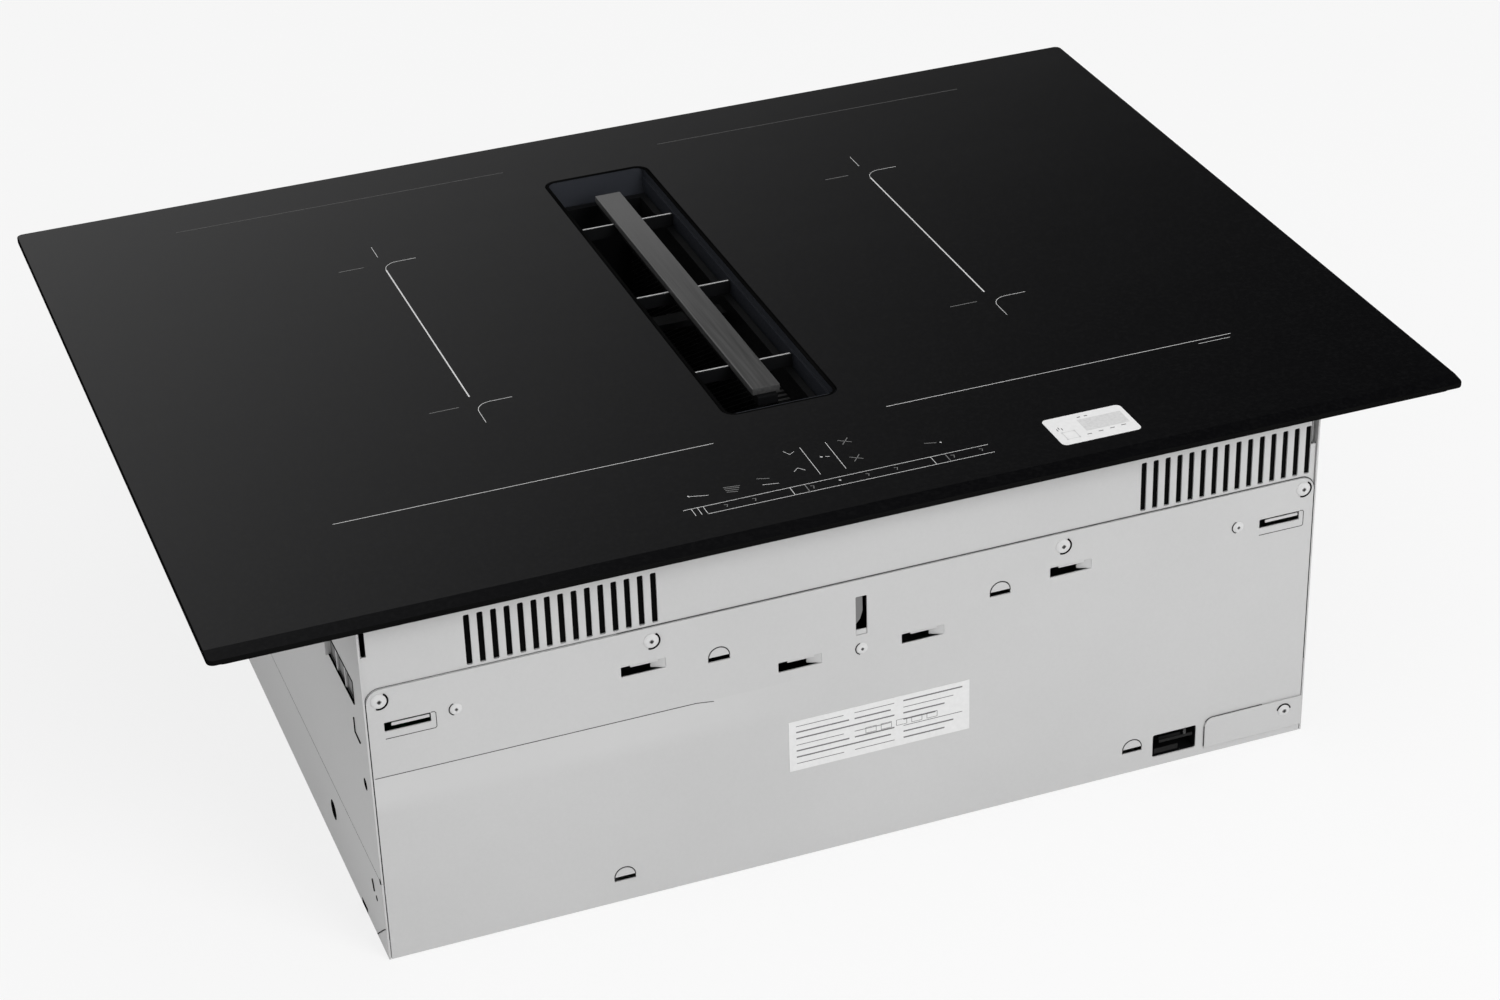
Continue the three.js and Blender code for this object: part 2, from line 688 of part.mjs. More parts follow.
// ---------- air inlet moulding ----------
function inletCollar() {
  const width = slotWidth - 2 * clearance;
  const length = slotLength - 2 * clearance;
  const corner = slotCorner - clearance;
  const neck = collarTop - collarNeckDrop;
  const upper = slab(roundedRect(0, slotCentreY, width, length, corner), neck, collarTop);
  const flange = slab(
    roundedRect(0, slotCentreY, width + 2 * collarFlange, length + 2 * collarFlange, corner),
    glassUnder - clearance - collarFlangeThickness, glassUnder - clearance);
  const lowX = throatHalfWidth + collarWall;
  const lowY = throatHalfLength + collarWall;
  const lower = box(-lowX, lowX, slotCentreY - lowY, slotCentreY + lowY, collarBottom, neck + 1);
  const mouthX = width / 2 - collarWall;
  const mouthY = length / 2 - collarWall;
  const seatX = mouthX - collarLedge;
  const seatY = mouthY - collarEndSlope;
  const slopeTop = glassTop + 1;
  const grown = mouthY + collarEndSlope / collarSeatDrop;
  const ledgeZ = glassTop - collarLedgeDrop;
  return cut(
    joined(upper, flange, lower),
    funnel(seatX, seatY, collarSeat, seatX, grown, slopeTop, slotCentreY),
    funnel(mouthX, mouthY - collarLedgeDrop / 2, ledgeZ, mouthX, grown, slopeTop, slotCentreY),
    box(-throatHalfWidth, throatHalfWidth, slotCentreY - throatHalfLength,
      slotCentreY + throatHalfLength, collarBottom - 1, collarSeat + 1),
  );
}
add("inlet_collar", inletCollar(), blackPlastic);

// ---------- filter basket, mesh panels and grille, which lift out ----------
const basketHalfX = throatHalfWidth - basketPlay;
const basketHalfY = throatHalfLength - basketPlay;

function filterBasket() {
  const inX = basketHalfX - basketWall;
  const inY = basketHalfY - basketWall;
  const y = slotCentreY;
  const rimX = basketHalfX + basketRim;
  const rimY = basketHalfY + basketRim + 1;
  const shell = joined(
    box(-basketHalfX, basketHalfX, y - basketHalfY, y + basketHalfY, basketFoot, rimTop),
    box(-rimX, rimX, y - rimY, y + rimY, basketSeat, rimTop),
  );
  const hollows = [
    box(-inX + basketLipWidth, inX - basketLipWidth, y - inY, y + inY,
      basketFoot + basketWall, troughTop + 1),
    box(-inX, inX, y - inY, y + inY, troughTop, rimTop + 1),
    box(-inX, inX, y - inY, y + inY, basketFoot + basketWall, troughTop - basketWall),
  ];
  const span = (2 * inY - (windowCount + 1) * windowPost) / windowCount;
  for (let i = 0; i < windowCount; i++) {
    const y0 = y - inY + windowPost + i * (span + windowPost);
    hollows.push(box(-basketHalfX - 1, basketHalfX + 1, y0, y0 + span,
      troughTop + windowPost, troughTop + windowPost + windowHeight - 2 * windowPost));
  }
  const gripTop = troughTop + windowHeight + gripThickness + 2;
  const grip = box(-inX - 0.5, inX + 0.5, y - gripWidth / 2, y + gripWidth / 2,
    gripTop - gripThickness, gripTop);
  return joined(cut(shell, ...hollows), grip);
}
add("filter_basket", filterBasket(), blackPlastic);

function greaseFilter(side) {
  const outer = basketHalfX - basketWall - clearance;
  const y = basketHalfY - basketWall - clearance;
  const z0 = troughTop + clearance;
  const z1 = z0 + windowHeight;
  const x0 = side < 0 ? -outer : outer - filterThickness;
  return box(x0, x0 + filterThickness, slotCentreY - y, slotCentreY + y, z0, z1);
}
add("grease_filter_left", greaseFilter(-1), meshMetal);
add("grease_filter_right", greaseFilter(1), meshMetal);

function inletGrille() {
  const barTop = glassTop - barDrop;
  const barUnder = barTop - barThickness;
  const y = slotCentreY;
  const half = slotLength / 2 - barEndGap;
  const keelHalf = half + keelOverrun;
  const ribTop = glassTop - ribDrop;
  const ribX = slotWidth / 2 - clearance - collarWall - collarLedge - ribSideGap;
  const ribs = [-1, 0, 1].map((i) => {
    const ry = y + i * (half - ribEndGap);
    return box(-ribX, ribX, ry - ribThickness / 2, ry + ribThickness / 2,
      rimTop + clearance, ribTop);
  });
  return joined(
    box(-barWidth / 2, barWidth / 2, y - half, y + half, barUnder, barTop),
    box(-keelWidth / 2, keelWidth / 2, y - keelHalf, y + keelHalf,
      barUnder - keelHeight, barUnder + 1),
    ...ribs,
  );
}
add("inlet_grille", inletGrille(), barMetal);

// ---------- air collector: a tub, an intake over the fan, and a lid on both ----------
const collectorFrontY = slotCentreY - airBoxHalfLength;
const collectorBackY = slotCentreY + airBoxHalfLength;
const intakeFloor = lidTop + clearance;
const intakeFrontY = fanY - wingFront;
const intakeBackY = fanY + wingBack;
const intakeRightX = fanX + scrollEnd;
const tubTop = airBoxTop - moulding;

function airBox() {
  const socketInner = containerRadius + 2;
  const wall = moulding;
  const footInset = postRadius + 2;
  const feet = [-1, 1].flatMap((side) => [collectorFrontY + footInset, collectorBackY - footInset]
    .map((y) => rod(postRadius, side * (airBoxHalfWidth - footInset), y,
      sheet + clearance, airBoxFloor + 1, 12)));
  const outside = joined(
    box(-airBoxHalfWidth, airBoxHalfWidth, collectorFrontY, collectorBackY, airBoxFloor, tubTop),
    rod(socketInner + socketWall, 0, slotCentreY, airBoxFloor - socketDepth, airBoxFloor + 1, 40),
    ...feet,
  );
  return cut(
    outside,
    box(-airBoxHalfWidth + wall, airBoxHalfWidth - wall, collectorFrontY + wall,
      collectorBackY - wall, airBoxFloor + wall, tubTop + 1),
    box(0, airBoxHalfWidth + 1, intakeFrontY + wall, intakeBackY - wall,
      intakeFloor + wall, tubTop + 1),
    rod(socketInner, 0, slotCentreY, airBoxFloor - socketDepth - 1, airBoxFloor, 40),
    rod(socketInner / 3, 0, slotCentreY, airBoxFloor - 1, airBoxFloor + wall + 1, 24),
  );
}
add("air_box", airBox(), blackPlastic);

// Shallow duct from the tub's open side to the neck over the fan.
function fanIntake() {
  const wall = moulding;
  return cut(
    box(airBoxHalfWidth, intakeRightX, intakeFrontY, intakeBackY, intakeFloor, tubTop),
    box(airBoxHalfWidth - 1, intakeRightX - wall, intakeFrontY + wall, intakeBackY - wall,
      intakeFloor + wall, tubTop + 1),
    rod(inletRadius, fanX, fanY, intakeFloor - 1, intakeFloor + wall + 1, 40),
  );
}
add("fan_intake", fanIntake(), blackPlastic);

function airBoxLid() {
  const outline = new THREE.Shape();
  outline.moveTo(-airBoxHalfWidth, collectorFrontY);
  outline.lineTo(airBoxHalfWidth, collectorFrontY);
  outline.lineTo(airBoxHalfWidth, intakeFrontY);
  outline.lineTo(intakeRightX, intakeFrontY);
  outline.lineTo(intakeRightX, intakeBackY);
  outline.lineTo(airBoxHalfWidth, intakeBackY);
  outline.lineTo(airBoxHalfWidth, collectorBackY);
  outline.lineTo(-airBoxHalfWidth, collectorBackY);
  outline.closePath();
  const openX = throatHalfWidth + collarWall + clearance;
  const openY = throatHalfLength + collarWall + clearance;
  outline.holes.push(rect(-openX, openX, slotCentreY - openY, slotCentreY + openY, THREE.Path));
  return slab(outline, tubTop, airBoxTop);
}
add("air_box_lid", airBoxLid(), blackPlastic);

// ---------- extractor fan ----------
// Outline of the scroll, grown or shrunk by an offset: a spiral that opens into the outlet.
function scrollOutline(offset) {
  const outline = new THREE.Shape();
  const mouthY = scrollMouthY;
  const start = (tongueAngle * Math.PI) / 180;
  const steps = 28;
  outline.moveTo(fanX + scrollEnd + offset, mouthY);
  outline.lineTo(scrollLeft + moulding / 2 - offset, mouthY);
  for (let i = 0; i <= steps; i++) {
    const angle = start + ((2 * Math.PI - start) * i) / steps;
    const radius = scrollStart + (scrollGrowth * i) / steps + offset;
    outline.lineTo(fanX + radius * Math.cos(angle), fanY + radius * Math.sin(angle));
  }
  outline.closePath();
  return outline;
}

function scrollPosts() {
  const reach = (scrollEnd + scrollStart) / 2.6;
  return [45, 135, 225, 315].map((degrees) => {
    const angle = (degrees * Math.PI) / 180;
    const x = fanX + reach * Math.cos(angle);
    const y = fanY + reach * Math.sin(angle);
    return rod(postRadius, x, y, sheet + clearance, scrollFloor + 1, 16);
  });
}

function scrollBase() {
  const outer = slab(scrollOutline(moulding / 2), scrollFloor, lidUnder - clearance);
  const inner = slab(scrollOutline(-moulding / 2), scrollInside, lidUnder + 1);
  const mouth = box(scrollLeft + moulding + 1, fanX + scrollEnd - moulding / 2,
    scrollMouthY - 10, scrollMouthY + 10, scrollInside, lidUnder + 1);
  return cut(joined(outer, ...scrollPosts()), inner, mouth);
}
add("scroll_base", scrollBase(), greyPlastic);

function scrollLid() {
  const plateSolid = slab(scrollOutline(moulding / 2), lidUnder, lidTop);
  const lipDepth = 4;
  const lip = rod(inletRadius + moulding, fanX, fanY, lidUnder - lipDepth, lidUnder + 1, 40);
  const hole = rod(inletRadius, fanX, fanY, lidUnder - lipDepth - 1, lidTop + 1, 40);
  return cut(joined(plateSolid, lip), hole);
}
add("scroll_lid", scrollLid(), greyPlastic);

const extractor = new THREE.Group();
extractor.position.set(fanX, fanY, 0);
part.add(extractor);

const shaftHole = shaftRadius + shaftPlay;
add("extractor_motor", cut(
  joined(
    rod(motorRadius, 0, 0, motorBottom, motorTop - 6, 40),
    rod(motorRadius - 8, 0, 0, motorTop - 7, motorTop, 40),
  ),
  rod(shaftHole, 0, 0, motorBottom + 4, motorTop + 1, 20),
), aluminium, extractor);

const hubTop = impellerBottom + hubHeight;
add("impeller_shaft", rod(shaftRadius, 0, 0, motorBottom + 4 + clearance, hubTop - clearance, 20),
  steel, extractor);

function bladeOutline(index) {
  const turn = (2 * Math.PI * index) / bladeCount;
  const inner = impellerEye + 0.5;
  const outer = impellerRadius - 0.5;
  const steps = 2;
  const edge = (side) => {
    const points = [];
    for (let i = 0; i <= steps; i++) {
      const radius = inner + ((outer - inner) * i) / steps;
      const angle = turn + bladeSweep * Math.pow(i / steps, 2) + (side * bladeThickness) / (2 * radius);
      points.push(new THREE.Vector2(radius * Math.cos(angle), radius * Math.sin(angle)));
    }
    return points;
  };
  return new THREE.Shape([...edge(-1), ...edge(1).reverse()]);
}

function impeller() {
  const plateTop = impellerBottom + impellerPlate;
  const top = impellerTop;
  const disc = rod(impellerRadius, 0, 0, impellerBottom, plateTop, 40);
  const ring = ellipse(0, 0, impellerRadius, impellerRadius);
  ring.holes.push(ellipse(0, 0, impellerEye, impellerEye, THREE.Path));
  const blades = [];
  for (let i = 0; i < bladeCount; i++)
    blades.push(slab(bladeOutline(i), plateTop - 1, top - 1));
  const hub = rod(hubRadius, 0, 0, impellerBottom, hubTop, 24);
  return cut(
    joined(disc, hub, slab(ring, top - impellerPlate, top, 20), ...blades),
    rod(shaftHole, 0, 0, impellerBottom - 1, hubTop + 1, 20),
  );
}
add("impeller", impeller(), greyPlastic, extractor);

// Outlet collar for the flat duct, from the mouth of the scroll to the rear panel.
function outletCollar() {
  const y0 = scrollMouthY + clearance;
  const y1 = halfDepth - sheet - clearance;
  const x0 = ductX - ductWidth / 2;
  const x1 = ductX + ductWidth / 2;
  const wall = moulding - clearance;
  const shell = box(x0 - wall, x1 + wall, y0, y1, scrollInside - moulding, lidUnder + moulding);
  const duct = box(x0, x1, y0 + moulding + 4, y1 + 1, scrollInside, lidUnder);
  const mouth = box(scrollLeft + moulding, fanX + scrollEnd - moulding / 2,
    y0 - 1, y0 + moulding + 5, scrollInside, lidUnder - clearance);
  return cut(shell, duct, mouth);
}
add("outlet_collar", outletCollar(), blackPlastic);

// ---------- overflow container and its screw ring ----------
const overflow = new THREE.Group();
overflow.position.set(0, slotCentreY, 0);
part.add(overflow);
const socketEnd = airBoxFloor - socketDepth;
const flangeTop = socketEnd - clearance;
const flangeBottom = flangeTop - containerFlangeThickness;

add("overflow_container", cut(
  joined(
    rod(containerRadius, 0, 0, containerFoot, airBoxFloor - clearance, 40),
    rod(containerRadius + containerFlange, 0, 0, flangeBottom, flangeTop, 40),
  ),
  rod(containerRadius - containerWall, 0, 0, containerFoot + containerWall, airBoxFloor + 1, 40),
), greyPlastic, overflow);

function overflowRing() {
  const lipTop = flangeBottom - clearance;
  const bottom = lipTop - ringHeight;
  const body = rod(ringOuterRadius, 0, 0, bottom, lipTop + ringSkirt, 40);
  const grips = [];
  for (let i = 0; i < ringGrips; i++) {
    const angle = (2 * Math.PI * i) / ringGrips;
    const reach = ringReach - ringGripRadius;
    grips.push(
      rod(ringGripRadius, reach * Math.cos(angle), reach * Math.sin(angle), bottom, lipTop, 8));
  }
  return cut(
    joined(body, ...grips),
    rod(containerRadius + 2 * clearance, 0, 0, bottom - 1, lipTop + 1, 40),
    rod(containerRadius + containerFlange + 2 * clearance, 0, 0, lipTop, lipTop + ringSkirt + 1, 40),
  );
}
add("overflow_ring", overflowRing(), blackPlastic, overflow);

// ---------- induction coils under the glass ----------
const micaTop = glassUnder - clearance;
const micaUnder = micaTop - micaThickness;
const coilTop = micaUnder - clearance;
const coilUnder = coilTop - coilThickness;
const carrierTop = coilUnder - clearance;
const carrierUnder = carrierTop - carrierPlate - ferriteHeight;
const supportTop = carrierUnder - clearance;
const supportUnder = supportTop - supportThickness;

function coilWinding() {
  const outline = ellipse(0, 0, coilHalfX, coilHalfY);
  outline.holes.push(ellipse(0, 0, coilHoleX, coilHoleY, THREE.Path));
  return slab(outline, coilUnder, coilTop, 12);
}

// Carrier plate with ferrite bars below it and a hole for the sensor.
function coilCarrier() {
  const outline = ellipse(0, 0, coilHalfX, coilHalfY);
  const hole = sensorRadius + clearance;
  outline.holes.push(ellipse(0, 0, hole, hole, THREE.Path));
  const bars = [];
  for (let i = 0; i < ferriteCount; i++) {
    const inner = coilHoleX;
    const outer = coilHalfY - 4;
    const bar = box(inner, outer, -ferriteWidth / 2, ferriteWidth / 2,
      carrierUnder, carrierTop - carrierPlate + 0.5);
    bars.push(bar.rotateZ((2 * Math.PI * (i + 0.5)) / ferriteCount));
  }
  return joined(slab(outline, carrierTop - carrierPlate, carrierTop, 12), ...bars);
}

for (const [sideName, side] of [["left", -1], ["right", 1]])
  for (const [rowName, rowY] of [["front", zoneFrontY + coilHalfY], ["rear", zoneBackY - coilHalfY]]) {
    const zone = new THREE.Group();
    zone.position.set(side * coilX, rowY, 0);
    part.add(zone);
    add(`coil_${rowName}_${sideName}`, coilWinding(), copper, zone);
    add(`coil_carrier_${rowName}_${sideName}`, coilCarrier(), ferriteBlack, zone);
    add(`coil_sensor_${rowName}_${sideName}`,
      rod(sensorRadius, 0, 0, supportTop + clearance, coilTop - clearance, 16), whitePlastic, zone);
  }

// ---------- support plates, mica, power boards and heat sinks ----------
const deckHalfX = coilHalfX + coilMargin;
const deckFrontY = zoneFrontY - coilMargin;
const deckBackY = zoneBackY + coilMargin;

function coilSupport() {
  const foot = trayInside + clearance;
  const legZ = supportUnder + 0.5;
  const footWidth = 10;
  return joined(
    box(-deckHalfX, deckHalfX, deckFrontY, deckBackY, supportUnder, supportTop),
    box(-deckHalfX, deckHalfX, deckFrontY, deckFrontY + supportThickness, foot, legZ),
    box(-deckHalfX, deckHalfX, deckBackY - supportThickness, deckBackY, foot, legZ),
    box(-deckHalfX, deckHalfX, deckFrontY, deckFrontY + footWidth, foot, foot + supportThickness),
    box(-deckHalfX, deckHalfX, deckBackY - footWidth, deckBackY, foot, foot + supportThickness),
  );
}

function board(x0, x1, y0, y1, baseZ, parts) {
  const under = baseZ + clearance + boardStandoff;
  const inset = 2 * standoffRadius;
  const posts = [
    [x0 + inset, y0 + inset],
    [x1 - inset, y0 + inset],
    [x0 + inset, y1 - inset],
    [x1 - inset, y1 - inset],
  ].map(([px, py]) => rod(standoffRadius, px, py, baseZ + clearance, under + 0.5, 12));
  return joined(
    box(x0, x1, y0, y1, under, under + boardThickness),
    ...posts,
    ...parts(under + boardThickness - 0.5),
  );
}
const powerBoardTop = trayInside + clearance + boardStandoff + boardThickness;
const boardHalfWidth = coilHalfX - boardSideInset;
const boardFrontY = zoneFrontY + boardFrontInset;
const boardBackY = zoneBackY - boardBackInset;
const partTop = supportUnder - deckGap;

// Filter choke, relay, two capacitors and a transformer.
function powerBoard(side) {
  const u = boardGrid;
  const outerX = -side * (boardHalfWidth - 1.4 * u);
  const innerX = side * (boardHalfWidth - 3 * u);
  const parts = (z) => [
    box(outerX - 1.1 * u, outerX + 1.1 * u, boardFrontY + 4 * u, boardFrontY + 10 * u,
      z, partTop - 0.4 * u),
    box(outerX - 1.2 * u, outerX + 1.2 * u, boardBackY - 17 * u, boardBackY - 13 * u,
      z, partTop - 0.2 * u),
    rod(0.9 * u, outerX, boardBackY - 9 * u, z, partTop, 20),
    rod(0.9 * u, outerX, boardBackY - 6 * u, z, partTop, 20),
    box(innerX - 1.2 * u, innerX + 1.2 * u, boardBackY - 15 * u, boardBackY - 11.5 * u,
      z, partTop - 0.6 * u),
  ];
  return board(-boardHalfWidth, boardHalfWidth, boardFrontY, boardBackY, trayInside, parts);
}

function heatSink() {
  const y0 = boardFrontY + sinkEndInset;
  const y1 = boardBackY - sinkEndInset;
  const bottom = powerBoardTop + clearance;
  const pitch = (2 * sinkHalfWidth - sinkFin) / (sinkFins - 1);
  const fins = [];
  for (let i = 0; i < sinkFins; i++) {
    const x = -sinkHalfWidth + i * pitch;
    fins.push(box(x, x + sinkFin, y0, y1, bottom + sinkBase / 2, partTop));
  }
  return joined(box(-sinkHalfWidth, sinkHalfWidth, y0, y1, bottom, bottom + sinkBase), ...fins);
}

for (const [sideName, side] of [["left", -1], ["right", 1]]) {
  const zone = new THREE.Group();
  zone.position.x = side * coilX;
  part.add(zone);
  add(`coil_support_${sideName}`, coilSupport(), aluminium, zone);
  add(`mica_sheet_${sideName}`,
    box(-coilHalfX, coilHalfX, deckFrontY, deckBackY, micaUnder, micaTop), mica, zone);
  add(`power_board_${sideName}`, powerBoard(side), boardGreen, zone);
  add(`heat_sink_${sideName}`, heatSink(), aluminium, zone);
}

// ---------- cooling fans in the tray ----------
const coolerBottom = trayInside + clearance;
const coolerTop = coolerBottom + coolerHeight;
const coolerStrutTop = coolerBottom + coolerStrutHeight;
const coolerCupTop = coolerStrutTop + coolerCupRise;

function coolerFrame() {
  const half = coolerSize / 2;
  const shell = cut(
    box(-half, half, -half, half, coolerBottom, coolerTop),
    rod(coolerBore, 0, 0, coolerBottom - 1, coolerTop + 1, 40),
  );
  const struts = [0, 1, 2].map((i) =>
    box(0, coolerBore + 1, -coolerStrut / 2, coolerStrut / 2, coolerBottom, coolerStrutTop)
      .rotateZ((2 * Math.PI * i) / 3 + 0.5));
  return joined(
    shell,
    ...struts,
    rod(coolerCupRadius, 0, 0, coolerBottom, coolerCupTop, 24),
    rod(coolerPin, 0, 0, coolerBottom, coolerTop - 2 * coolerStrutHeight, 12),
  );
}

function coolerRotor() {
  const bottom = coolerCupTop + clearance;
  const top = coolerTop - coolerStrutHeight - sheet;
  const root = coolerCupRadius - 2;
  const tip = coolerBore - coolerTipGap;
  const blades = [];
  for (let i = 0; i < coolerBlades; i++) {
    const blade = new THREE.BoxGeometry(tip - root, coolerBladeChord, coolerBladeThickness);
    blade.rotateX(coolerBladePitch);
    blade.translate((tip + root) / 2, 0, (bottom + top) / 2);
    blades.push(blade.rotateZ((2 * Math.PI * i) / coolerBlades));
  }
  return cut(
    joined(rod(coolerCupRadius, 0, 0, bottom, top, 24), ...blades),
    rod(coolerPin + clearance, 0, 0, bottom - 1, top - coolerBladeThickness, 12),
  );
}

for (const [sideName, groupX] of [["left", ventLeftX], ["right", ventRightX]]) {
  const cooler = new THREE.Group();
  cooler.position.set(groupX, coolerY, 0);
  part.add(cooler);
  add(`cooling_fan_frame_${sideName}`, coolerFrame(), blackPlastic, cooler);
  add(`cooling_fan_rotor_${sideName}`, coolerRotor(), blackPlastic, cooler);
}

// ---------- touch control under the front edge of the glass ----------
const touch = new THREE.Group();
touch.position.y = -innerHalfDepth + trayFlange + touchFrontGap + touchDepth / 2;
part.add(touch);
const touchTop = trayTop - clearance;

function touchHolder() {
  const x = touchWidth / 2;
  const y = touchDepth / 2;
  const bottom = trayInside + clearance;
  const floor = touchTop - touchHolderHeight;
  const legs = [-1, 1].map((side) =>
    box(side * (x - touchLeg / 2) - touchLeg / 2, side * (x - touchLeg / 2) + touchLeg / 2,
      -y, y, bottom, floor + 1));
  return joined(
    cut(
      box(-x, x, -y, y, floor, touchTop),
      box(-x + touchWall, x - touchWall, -y + touchWall, y - touchWall, floor + touchWall, touchTop + 1),
    ),
    ...legs,
  );
}
add("touch_holder", touchHolder(), blackPlastic, touch);

function touchBoard() {
  const x = touchWidth / 2 - touchWall - clearance;
  const y = touchDepth / 2 - touchWall - clearance;
  const bottom = touchTop - touchHolderHeight + touchWall + clearance;
  const keyX = x - 4 * keyRadius;
  const keys = [];
  for (let i = 0; i < touchKeys; i++)
    keys.push(rod(keyRadius, (i / (touchKeys - 1) - 0.5) * 2 * keyX, -y + 2 * keyRadius,
      bottom + 1, touchTop - 1, 10));
  const display = box(-x / 3, x / 3, touchWall, y - 2 * touchWall, bottom + 1, touchTop - 1);
  return joined(box(-x, x, -y, y, bottom, bottom + boardThickness), display, ...keys);
}
add("touch_board", touchBoard(), boardGreen, touch);

// ---------- mains side: filter board, fan control board, terminals and cable inlet ----------
const lowBoardX = -(halfWidth + airBoxHalfWidth) / 2 - lowBoardShift;
const driverBoardY = -innerHalfDepth + lowBoardFrontGap + driverBoardDepth / 2;
const netBoardY = driverBoardY + driverBoardDepth / 2 + lowBoardGap + netBoardDepth / 2;

// Two chokes, two film capacitors and a relay.
function netBoardParts(z) {
  const u = boardGrid;
  return [
    rod(2 * u, -4 * u, 5 * u, z, z + 3 * u, 24),
    rod(2 * u, 2 * u, 5 * u, z, z + 3 * u, 24),
    box(-6 * u, -2 * u, -6 * u, -3.5 * u, z, z + 2.8 * u),
    box(-0.5 * u, 3.5 * u, -6 * u, -3.5 * u, z, z + 2.8 * u),
    box(-6 * u, -3 * u, -u, u, z, z + 2 * u),
  ];
}
const netBoard = new THREE.Group();
netBoard.position.set(lowBoardX, netBoardY, 0);
part.add(netBoard);
add("mains_filter_board",
  board(-netBoardWidth / 2, netBoardWidth / 2, -netBoardDepth / 2, netBoardDepth / 2,
    sheet, netBoardParts), boardGreen, netBoard);

// Two capacitors, a driver module and a plug strip.
function driverBoardParts(z) {
  const u = boardGrid;
  return [
    rod(0.8 * u, -3.6 * u, 1.8 * u, z, z + 2.5 * u, 20),
    rod(0.8 * u, -1.6 * u, 1.8 * u, z, z + 2.5 * u, 20),
    box(u, 4.4 * u, -0.4 * u, 2.6 * u, z, z + 2.2 * u),
    box(-4.4 * u, -u, -3 * u, -1.6 * u, z, z + 0.9 * u),
  ];
}
const driverBoard = new THREE.Group();
driverBoard.position.set(lowBoardX, driverBoardY, 0);
part.add(driverBoard);
add("fan_control_board",
  board(-driverBoardWidth / 2, driverBoardWidth / 2, -driverBoardDepth / 2, driverBoardDepth / 2,
    sheet, driverBoardParts), boardGreen, driverBoard);

const terminalFront = halfDepth - sheet - clearance - terminalDepth;
function terminalBlock() {
  const x0 = terminalX - terminalWidth / 2 + clearance;
  const x1 = terminalX + terminalWidth / 2 - clearance;
  const z0 = terminalZ - terminalTall / 2 + clearance;
  const pitch = (x1 - x0) / terminalWays;
  const slots = [];
  for (let i = 0; i < terminalWays; i++) {
    const x = x0 + i * pitch;
    slots.push(box(x + terminalRib, x + pitch - terminalRib, terminalFront + terminalFoot,
      halfDepth, z0 + terminalSlotRise, z0 + terminalStep + 1));
  }
  const base = box(x0, x1, terminalFront, halfDepth - sheet - clearance, z0, z0 + terminalStep);
  const foot = box(x0, x1, terminalFront, terminalFront + terminalFoot, sheet + clearance, z0 + 1);
  return cut(joined(base, foot), ...slots);
}
add("terminal_block", terminalBlock(), whitePlastic);

const terminalCover = rect(
  terminalX - terminalWidth / 2 - terminalLap, terminalX + terminalWidth / 2 + terminalLap,
  terminalZ - terminalTall / 2 - terminalLap, terminalZ + terminalTall / 2 + terminalLap);
add("terminal_cover",
  frontSlab(terminalCover, halfDepth + clearance, halfDepth + clearance + sheet), steel);

// Grommet with a groove that the rear panel sits in.
function cableGrommet() {
  const middle = halfDepth - sheet / 2;
  const grooveHalf = sheet / 2 + clearance;
  const half = grommetLength / 2;
  const profile = [
    [grommetBore, -half],
    [grommetRadius, -half],
    [grommetRadius, -grooveHalf],
    [grommetGroove, -grooveHalf],
    [grommetGroove, grooveHalf],
    [grommetRadius, grooveHalf],
    [grommetRadius, half],
    [grommetBore, half],
    [grommetBore, -half],
  ].map(([r, h]) => new THREE.Vector2(r, h));
  return new THREE.LatheGeometry(profile, 24).translate(grommetX, middle, grommetZ);
}
add("cable_grommet", cableGrommet(), rubber);

export default part;
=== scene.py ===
import json
import math

import bmesh
import bpy
from mathutils import Matrix, Vector

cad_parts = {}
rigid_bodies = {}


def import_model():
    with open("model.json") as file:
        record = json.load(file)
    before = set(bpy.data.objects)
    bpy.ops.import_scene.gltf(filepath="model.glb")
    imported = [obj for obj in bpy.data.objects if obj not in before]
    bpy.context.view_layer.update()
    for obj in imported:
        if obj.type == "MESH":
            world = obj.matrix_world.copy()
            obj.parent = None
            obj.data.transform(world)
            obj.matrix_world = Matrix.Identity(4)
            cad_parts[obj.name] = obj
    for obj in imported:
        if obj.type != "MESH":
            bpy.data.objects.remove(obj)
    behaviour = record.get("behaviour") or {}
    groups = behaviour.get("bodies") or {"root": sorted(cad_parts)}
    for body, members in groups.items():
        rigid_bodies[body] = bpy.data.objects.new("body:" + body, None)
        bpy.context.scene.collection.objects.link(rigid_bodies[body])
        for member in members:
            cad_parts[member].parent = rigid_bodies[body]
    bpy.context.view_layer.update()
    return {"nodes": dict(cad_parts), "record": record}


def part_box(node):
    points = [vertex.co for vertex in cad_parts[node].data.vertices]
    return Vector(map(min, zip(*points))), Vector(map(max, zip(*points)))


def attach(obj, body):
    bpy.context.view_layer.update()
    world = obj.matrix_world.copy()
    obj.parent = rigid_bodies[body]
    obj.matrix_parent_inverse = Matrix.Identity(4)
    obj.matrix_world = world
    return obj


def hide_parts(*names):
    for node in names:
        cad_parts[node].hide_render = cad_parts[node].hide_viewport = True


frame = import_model()
nodes = frame["nodes"]
scene = bpy.context.scene
MM = 0.001


